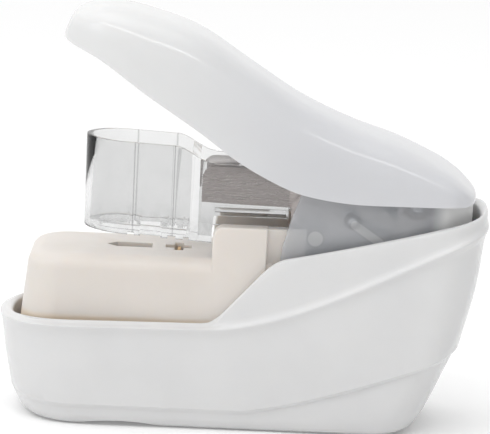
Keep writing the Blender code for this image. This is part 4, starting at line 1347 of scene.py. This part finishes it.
@dataclass
class PaperTable:
    """The cream table with its round front, cheeks and rear tongue.

    Attributes:
        front: Its front end.
        rear: The back of the block.
        half: Half its width.
        corner: The radius of its front corners.
        fillet: The radius along its top edge.
        foot: Its lowest height.
        cheek_inner: The inside of the cheeks.
        cheek_top: The top of the cheeks.
    """

    front: float = -0.0472
    rear: float = 0.006
    half: float = 0.0146
    corner: float = 0.0076
    fillet: float = 0.0032
    foot: float = 0.0155
    cheek_inner: float = 0.0102
    cheek_top: float = 0.0436

    def ring(self, front: float, half: float, radius: float, height: float) -> list[Place]:
        """One ring of the block: round in front, square at the back."""
        loop = arc((front + radius, radius - half), radius, 270, 180, 14)
        loop += arc((front + radius, half - radius), radius, 180, 90, 14)
        loop += [(self.rear, half), (self.rear, -half)]
        return [(x, y, height) for x, y in loop]

    def block(self) -> bpy.types.Object:
        """The block with its leaning front and rounded top edge."""
        rings = [self.ring(self.front, self.half, self.corner, self.foot),
                 self.ring(self.front, self.half, self.corner, 0.022)]
        for k in range(15):
            t = math.radians(90 * k / 14)
            inset = self.fillet * (1 - math.cos(t))
            rings.append(self.ring(self.front + 0.0012 + inset, self.half - inset,
                                   self.corner - 0.6 * inset,
                                   TABLE_TOP - self.fillet * (1 - math.sin(t))))
        return loft("fine_paper_table", rings)

    def cheeks(self) -> list[bpy.types.Object]:
        """The two cheeks that stop the paper, and the thinner walls behind them."""
        front, rear, radius = -0.0068, 0.00475, 0.0025
        top = self.cheek_top
        cheek = [(front, self.foot + 0.004), (rear, self.foot + 0.004), (rear, top)]
        cheek += arc((front + radius, top - radius), radius, 90, 180, 12)
        behind = [(rear - 0.002, 0.024), (0.0130, 0.026), (0.0130, top - 0.0003),
                  (rear - 0.002, top - 0.0003)]
        pieces = []
        for side in (-1, 1):
            for name, outline, outer in (("cheek", cheek, self.half), ("behind", behind, 0.0127)):
                low, high = sorted((side * self.cheek_inner, side * outer))
                pieces.append(plate(f"{name}_{side}", [outline], low, high, edge=0.0004))
        return pieces

    def tongue(self) -> list[bpy.types.Object]:
        """The tongue to the axle, the stop peg and the seats of the springs."""
        ax, az = ARM_AXLE
        px, pz = PEG
        outline = [(-0.0095, 0.0220), (0.005, 0.0220), (ax - 0.004, az - 0.0042)]
        outline += arc(ARM_AXLE, 0.0042, -90, 90, 20)
        outline += [(px + 0.0042, 0.0380), (px + 0.0028, pz + 0.0022), (px - 0.0028, pz + 0.0022),
                    (px - 0.0042, 0.0360), (-0.0095, TABLE_TOP - 0.001)]
        pieces = [plate("tongue", [outline], -0.0066, 0.0066, edge=0.0003),
                  turned("stop_peg", PEG, pin_profile(0.0008, -0.0078, 0.0078, 0.0002),
                         Axis.Y)]
        seat = [(0.0013, 0.0300), (0.0015, 0.0302), (0.0015, TABLE_TOP - 0.0019)]
        pieces += [turned(f"seat_{i}", (SPRING_X, y), seat, Axis.Z, 28)
                   for i, y in enumerate((-PAIR_SIDE, PAIR_SIDE))]
        return pieces

    def openings(self) -> list[bpy.types.Object]:
        """The axle's hole and the two openings in the top."""
        tip, back, half = -0.0296, -0.0198, 0.0025
        punch = [(tip, 0.0), (tip + 0.0022, -half), (back, -half), (back, half),
                 (tip + 0.0022, half)]
        narrow, wide, finger = 0.00095, 0.0041, 0.0017
        x, front, rear = SLIT_X, SLIT_X - 0.0029, SLIT_X + 0.0027
        cross = [(front, -finger), (x - narrow, -finger), (x - narrow, -wide), (x + narrow, -wide),
                 (x + narrow, -finger), (rear, -finger), (rear, finger), (x + narrow, finger),
                 (x + narrow, wide), (x - narrow, wide), (x - narrow, finger), (front, finger)]
        cuts = [plate(f"opening_{i}", [outline], TABLE_TOP - 0.006, TABLE_TOP + 0.001, Axis.Z)
                for i, outline in enumerate((punch, cross))]
        axle = turned("axle_hole", ARM_AXLE, [(0.0017, -0.012), (0.0017, 0.012)], Axis.Y, 40)
        return cuts + [axle]

    def build(self, bench: Bench) -> None:
        """Build the table and fit it."""
        table = carve(self.block(), self.cheeks(), "UNION")
        cavity = plate("cavity", [rounded_box(self.front + 0.0030, -0.0105, self.half - 0.0026,
                                              0.0028)], self.foot - 0.002, TABLE_TOP - 0.0024,
                       Axis.Z)
        carve(table, [cavity])
        carve(table, self.tongue(), "UNION")
        carve(table, self.openings())
        bench.fit(shade(soften(table, 0.00022, 42.0), 40.0), Body.TABLE, Slot.TABLE, "paper_table")


# The arm and its guard


@dataclass
class ClearGuard:
    """The clear cup that clamps the paper, with its inner flange and two side plates.

    Attributes:
        front: The front of the cup.
        half: Half its width.
        wall: The thickness of the wall.
        wall_rear: The back of the cup's rear wall.
        end: The end of the side plates.
        edge: The radius along its edges.
        seams: Where its fine upright seam ribs stand.
        reliefs: The shallow cut-outs in its lower edge, as (start, end) along X.
    """

    front: float = -0.0347
    half: float = 0.0093
    wall: float = 0.0012
    wall_rear: float = -0.0101
    end: float = 0.009
    edge: float = 0.0002
    seams: tuple[float, ...] = GUARD_SEAMS
    reliefs: tuple[Point, ...] = ((-0.0250, -0.0236), (-0.0165, -0.0148), (-0.0132, -0.0120))

    def low(self, x: float, y: float) -> float:
        """The wall's lower edge at a place: a slope with reliefs, a notch, then a rise."""
        step = self.wall_rear + 0.0030
        if x > step:
            return 0.0430
        notch_rear = self.wall_rear - 0.0079
        if y < 0 and notch_rear - 0.0043 < x < notch_rear:
            return 0.0432
        relief = 0.0005 if any(a < x < b for a, b in self.reliefs) else 0.0
        return 0.0407 - 0.0015 * (x - self.front) / (step - self.front) + relief

    def thickness(self, x: float) -> float:
        """The wall's thickness, with a fine upright rib at each seam."""
        rib = max((max(0.0, 1.0 - abs(x - seam) / 0.0002) for seam in self.seams), default=0.0)
        return self.wall + 0.0001 * rib

    def high(self, x: float) -> float:
        """The wall's upper edge: the cup's rim, a curved neck, then the side plates."""
        neck, shoulder = self.wall_rear + 0.0030, self.wall_rear - 0.0055
        if x >= neck:
            return 0.0560
        if x >= shoulder:
            t = (neck - x) / (neck - shoulder)
            return 0.0562 + 0.0034 * t * t * (3 - 2 * t)
        return 0.0596 + 0.0008 * (shoulder - x) / (shoulder - self.front)

    def stations(self) -> list[tuple[float, float, float, float]]:
        """Places round the U of the wall, as (x, y, outward x, outward y)."""
        centre = self.front + self.half
        step, notch = self.wall_rear + 0.0030, self.wall_rear - 0.0079
        xs = {self.end - (self.end - centre) * i / 60 for i in range(61)}
        jumps = [step, notch, notch - 0.0043, self.wall_rear - 0.0055]
        for jump in jumps + [x for relief in self.reliefs for x in relief]:
            xs |= {jump - 0.00003, jump + 0.00003}
        for seam in self.seams:
            xs |= {seam - 0.0002, seam, seam + 0.0002}
        side = sorted(xs, reverse=True)
        path = [(x, -self.half, 0.0, -1.0) for x in side if x > centre + 0.0001]
        for i in range(49):
            a = math.radians(270 - 180 * i / 48)
            path.append((centre + self.half * math.cos(a), self.half * math.sin(a),
                         math.cos(a), math.sin(a)))
        return path + [(x, self.half, 0.0, 1.0) for x in reversed(side) if x > centre + 0.0001]

    def wall_ring(self, x: float, y: float, nx: float, ny: float) -> list[Place]:
        """The wall's section at one station, a thin upright with rounded corners."""
        low, high, e, w = self.low(x, y), self.high(x), self.edge, self.thickness(x)
        corners = [(e, low + e, 180), (w - e, low + e, 270), (w - e, high - e, 0),
                   (e, high - e, 90)]
        ring = []
        for u, v, start in corners:
            for da in (0, 45, 90):
                a = math.radians(start + da)
                depth = u + e * math.cos(a)
                ring.append((x - nx * depth, y - ny * depth, v + e * math.sin(a)))
        return ring

    def rear_wall(self) -> bpy.types.Object:
        """The cup's rear wall between the sides."""
        front, rear = self.wall_rear - 0.0018, self.wall_rear
        outline = [(front, self.low(front, 1.0) + 0.0001), (rear, self.low(rear, 1.0) + 0.0001),
                   (rear, self.high(rear) - 0.0001), (front, self.high(front) - 0.0001)]
        reach = self.half - self.wall + 0.0003
        return plate("rear_wall", [outline], -reach, reach, edge=0.0001)

    def floor_ring(self) -> bpy.types.Object:
        """The inner flange at the foot of the cup, round the blades' opening."""
        slope, reach, width = -0.0543, self.half - self.wall + 0.0003, 0.0024
        rear = self.wall_rear - 0.0015
        outlines = []
        for inset in (0.0, width):
            r = reach - inset
            nose = arc((self.front + self.half, 0.0), r, 270, 90, 32)
            back = rear - 0.4 * inset
            outlines.append(nose + [(back, r), (back, -r)])
        ring = plate("floor_ring", outlines[:1], 0.0416, 0.0426, Axis.Z)
        carve(ring, [plate("floor_opening", outlines[1:], 0.040, 0.044, Axis.Z)])
        for vertex in ring.data.vertices:
            vertex.co.z += slope * (vertex.co.x - self.front)
        return ring

    def tab(self) -> bpy.types.Object:
        """The thin tab that stands behind the notch."""
        rear, face = self.wall_rear - 0.0076, self.half - self.wall + 0.0001
        outline = [(rear - 0.0049, 0.0401), (rear, 0.0399), (rear, 0.0440),
                   (rear - 0.0049, 0.0440)]
        return plate("tab", [outline], -face, 0.0010 - face, edge=0.0002)

    def grips(self) -> list[bpy.types.Object]:
        """The ledges under the arm and the lips over it."""
        inner, top = self.half - self.wall, ARM_FOOT - 0.0006
        runs = {"ledge": (self.wall_rear + 0.0035, self.end - 0.0005, top - 0.0010, top),
                "lip": (self.end - 0.0110, self.end - 0.0050, ARM_TOP + 0.0003, ARM_TOP + 0.0007)}
        pieces = []
        for name, (x0, x1, z0, z1) in runs.items():
            outline = [(x0, z0), (x1, z0), (x1, z1), (x0, z1)]
            for side in (-1, 1):
                low, high = sorted((side * (inner - 0.0009), side * (inner + 0.0003)))
                pieces.append(plate(f"{name}_{side}", [outline], low, high, edge=0.0001))
        return pieces

    def build(self, bench: Bench) -> None:
        """Build the guard and fit it."""
        guard = loft("fine_clear_guard", [self.wall_ring(*s) for s in self.stations()])
        carve(guard, [self.rear_wall(), self.floor_ring(), self.tab()] + self.grips(), "UNION")
        guard.visible_diffuse = guard.visible_shadow = False
        bench.fit(shade(guard, 30.0), Body.ARM, Slot.GUARD, "clear_guard")


@dataclass
class SteelArm:
    """The pressed arm.

    Attributes:
        edge: The width of its rounded edges.
    """

    edge: float = 0.00022

    def build(self, bench: Bench) -> None:
        """Build the arm and fit it."""
        bench.carry("steel_arm", Body.ARM, Slot.SHEET, self.edge)


# The handle


@dataclass
class Handle:
    """The milky cover, the inner frame and the drive pin.

    Attributes:
        tip: The front end.
        end: The rear end.
        half: Half the width.
        wall: The cover's wall.
        nose: The length of the round nose.
        tail: The length of the round tail.
        stations: Sections along the cover.
        sides: Points across a section.
    """

    tip: float = -0.04005
    end: float = 0.0488
    half: float = 0.0172
    wall: float = 0.0015
    nose: float = 0.0180
    tail: float = 0.0075
    stations: int = 110
    sides: int = 48

    @staticmethod
    def through(x: float, knots: Sequence[Point]) -> float:
        """A smooth value at x through (x, value) knots."""
        if x <= knots[0][0]:
            return knots[0][1]
        for i in range(len(knots) - 1):
            (x0, v0), (x1, v1) = knots[i], knots[i + 1]
            if x > x1 and i < len(knots) - 2:
                continue
            before, after = knots[max(i - 1, 0)], knots[min(i + 2, len(knots) - 1)]
            width, t = x1 - x0, min(1.0, (x - x0) / (x1 - x0))
            slope0 = (v1 - before[1]) / (x1 - before[0])
            slope1 = (after[1] - v0) / (after[0] - x0)
            return ((1 + 2 * t) * (1 - t) ** 2 * v0 + t * (1 - t) ** 2 * width * slope0
                    + t * t * (3 - 2 * t) * v1 + t * t * (t - 1) * width * slope1)
        return knots[-1][1]

    def top(self, x: float) -> float:
        """The handle's back line, from its nose to its tail."""
        f = self.tip
        return self.through(x, [
            (f, 0.0822), (f + 0.0018, 0.0860), (f + 0.0052, 0.0880), (f + 0.0095, 0.08866),
            (f + 0.0178, 0.0872), (f + 0.0285, 0.0837), (f + 0.0395, 0.0769), (0.0104, 0.0701),
            (0.0213, 0.0652), (0.0322, 0.0615), (0.0410, 0.0574), (0.0454, 0.0545),
            (self.end, 0.0515)])

    def lower(self, x: float) -> float:
        """The handle's lower edge."""
        f = self.tip
        return self.through(x, [
            (f, 0.0812), (f + 0.0083, 0.0780), (f + 0.0190, 0.0708), (f + 0.0297, 0.0639),
            (f + 0.0373, 0.0585), (0.0047, 0.0544), (0.0115, 0.0517), (0.0216, 0.0502),
            (0.0321, 0.0501), (0.0470, 0.0503), (self.end, 0.0505)])

    def width(self, x: float, inset: float) -> float:
        """Half the handle's width at x, drawn in by inset."""
        half, nose = self.half - inset, self.tip + inset
        if x < nose + self.nose:
            t = max(0.0, (nose + self.nose - x) / self.nose)
            return half * max(0.0, 1 - t ** 2.3) ** (1 / 2.3)
        tail = self.end - inset
        if x > tail - self.tail:
            t = min(1.0, (x - tail + self.tail) / self.tail)
            return half * max(0.0, 1 - t ** 2.8) ** (1 / 2.8)
        return half

    def section(self, x: float, inset: float, drop: float) -> list[Place]:
        """One arched section, closed below at drop under the lower edge."""
        half = max(self.width(x, inset), 0.0002)
        edge = self.lower(x) - drop
        top = max(self.top(x) - inset, edge + 0.0003)
        ring = []
        for k in range(self.sides + 1):
            a = math.pi * k / self.sides
            c, s = math.cos(a), math.sin(a)
            ring.append((x, half * math.copysign(abs(c) ** 0.5, c),
                         edge + (top - edge) * abs(s) ** 0.5))
        return ring

    def body(self, name: str, inset: float, drop: float) -> bpy.types.Object:
        """The cover as a solid, full size or drawn in for its hollow."""
        start, finish = self.tip + inset, self.end - inset
        rings = []
        for k in range(self.stations + 1):
            t = k / self.stations
            eased = 0.5 - 0.5 * math.cos(math.pi * t)
            x = start + (finish - start) * (0.75 * eased + 0.25 * t)
            rings.append(self.section(min(max(x, start + 0.00003), finish - 0.00003), inset, drop))
        return loft(name, rings)

    def build(self, bench: Bench) -> None:
        """Build the handle's pieces and fit them."""
        cover = carve(self.body("fine_handle_cover", 0.0, 0.0),
                      [self.body("hollow", self.wall, 0.004)])
        bosses, threads = [], []
        foot, roof = 0.0557, self.top(BOSS_X) - self.wall - 0.0008
        boss = [(0.0020, foot), (0.0022, foot + 0.0002), (0.0022, roof)]
        bore = [(0.0012, foot - 0.001), (0.0012, foot + 0.0028)]
        for i, y in enumerate((-PAIR_SIDE, PAIR_SIDE)):
            bosses.append(turned(f"boss_{i}", (BOSS_X, y), boss, Axis.Z, 32))
            threads.append(turned(f"thread_{i}", (BOSS_X, y), bore, Axis.Z, 24))
        carve(carve(cover, bosses, "UNION"), threads)
        bench.fit(shade(cover, 45.0), Body.HANDLE, Slot.COVER, "handle_cover")
        bench.carry("handle_frame", Body.HANDLE, Slot.FRAME, 0.0002)
        bench.pin("drive_pin", Body.HANDLE, DRIVE_PIN, 0.00075, 0.0134, 0.0002)


# The studio


@dataclass
class Studio:
    """The floor, the lights and the camera.

    Attributes:
        elevation: The camera's height angle in degrees.
        distance: From the camera to its target.
        roll: How far the picture is turned, in degrees.
        target: What the camera looks at.
        lens: The focal length in millimetres on a 36 mm wide sensor.
        side_glow: The brightness of the surroundings at the sides.
        over_glow: Their brightness overhead.
        floor_glow: The floor's own light.
        rear_loss: How much darker the surroundings are towards the hinge end.
    """

    elevation: float = 10.5
    distance: float = 0.70
    roll: float = 2.5
    target: Place = (-0.0002, 0.0, 0.04334)
    lens: float = 239.4
    side_glow: float = 0.12
    over_glow: float = 1.48
    floor_glow: float = 0.10
    rear_loss: float = 0.60

    def camera(self) -> None:
        """Put up the camera."""
        e, r = math.radians(self.elevation), math.radians(self.roll)
        back = Vector((0.0, -math.cos(e), math.sin(e)))
        right, up = Vector((1.0, 0.0, 0.0)), Vector((0.0, math.sin(e), math.cos(e)))
        across = right * math.cos(r) + up * math.sin(r)
        upright = up * math.cos(r) - right * math.sin(r)
        data = bpy.data.cameras.new("camera")
        data.lens, data.sensor_width, data.clip_start = self.lens, 36.0, 0.01
        item = new_object("camera", data)
        turn = Matrix((across, upright, back)).transposed().to_4x4()
        item.matrix_world = Matrix.Translation(Vector(self.target) + back * self.distance) @ turn
        bpy.context.scene.camera = item

    def light(self, name: str, place: Place, size: Point, power: float) -> None:
        """Put up one soft light that faces the stapler.

        Args:
            name: Its name.
            place: Where it stands.
            size: Its width and height.
            power: In watts.
        """
        data = bpy.data.lights.new(name, "AREA")
        data.shape, data.size, data.size_y, data.energy = "RECTANGLE", *size, power
        item = new_object(name, data)
        item.location = place
        away = Vector(place) - Vector((0, 0, 0.04))
        item.rotation_euler = away.to_track_quat("Z", "Y").to_euler()

    def world(self) -> None:
        """Set the surroundings: bright overhead, dimmer at the sides and past the hinge."""
        world = bpy.data.worlds.new("surroundings")
        graph = Graph(world, "Background")
        way = graph.node("ShaderNodeTexCoord", output="Generated")
        up = graph.node("ShaderNodeSeparateXYZ", inputs={0: way}, output="Z")
        aside = graph.node("ShaderNodeSeparateXYZ", inputs={0: way}, output="X")
        height = graph.node("ShaderNodeClamp", inputs={0: up})
        shadow = graph.node("ShaderNodeClamp", inputs={0: aside})
        glow = self.side_glow + (self.over_glow - self.side_glow) * height
        graph.feed(graph.shader.inputs["Strength"], glow * (1.0 - self.rear_loss * shadow))
        graph.feed(graph.shader.inputs["Color"], (1.0, 1.0, 1.0))
        bpy.context.scene.world = world
        bpy.context.scene.view_settings.view_transform = "Standard"

    def surround(self) -> None:
        """Stand a pale screen round the floor, which casts no shadow and lights nothing."""
        graph = Graph.of_material("pale_screen")
        graph.principled(Base_Color=(0.0, 0.0, 0.0), Roughness=1.0, Specular_IOR_Level=0.0,
                         Emission_Color=(1.0, 1.0, 1.0), Emission_Strength=1.0)
        rim = [(2.9 * math.cos(math.radians(7.5 * i)), 2.9 * math.sin(math.radians(7.5 * i)))
               for i in range(48)]
        shape = bmesh.new()
        rows = [[shape.verts.new((x, y, z)) for x, y in rim] for z in (-0.01, 3.0)]
        for i in range(48):
            shape.faces.new((rows[0][i - 1], rows[0][i], rows[1][i], rows[1][i - 1]))
        mesh = bpy.data.meshes.new("screen")
        shape.to_mesh(mesh)
        shape.free()
        screen = new_object("screen", mesh)
        mesh.materials.append(graph.owner)
        screen.visible_diffuse = screen.visible_shadow = False

    def floor(self) -> None:
        """Lay the pale floor."""
        graph = Graph.of_material("pale_floor")
        cloud = graph.noise(3.0, 2.0)
        graph.principled(Base_Color=graph.mix(cloud, (0.90, 0.90, 0.90), (0.88, 0.88, 0.88)),
                         Roughness=0.9, Emission_Color=(1.0, 1.0, 1.0),
                         Emission_Strength=self.floor_glow, Specular_IOR_Level=0.1)
        disc = turned("floor", (0.0, 0.0), [(3.0, -0.02), (3.0, 0.0)], Axis.Z, 96)
        disc.data.materials.append(graph.owner)

    def build(self) -> None:
        """Build the studio."""
        self.world()
        self.floor()
        self.surround()
        self.light("top", (0.0, 0.10, 0.80), (0.6, 0.5), 0.5)
        self.light("strip", (-0.10, -0.38, 0.66), (0.9, 0.06), 1.2)
        self.light("window", (-0.60, -0.30, 0.40), (0.3, 0.3), 0.45)
        self.camera()


def main() -> None:
    """Build the stapler's looks, then its studio."""
    logging.basicConfig(level=logging.INFO, format="%(message)s")
    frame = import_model()
    bench = Bench(frame, Wardrobe())
    for assembly in (BaseShell(), LidAndScrews(), Hinge(), Cutters(), Springs(), PaperTable(),
                     ClearGuard(), SteelArm(), Handle()):
        LOG.info("building %s", type(assembly).__name__)
        assembly.build(bench)
    Studio().build()


if __name__ == "__main__":
    main()
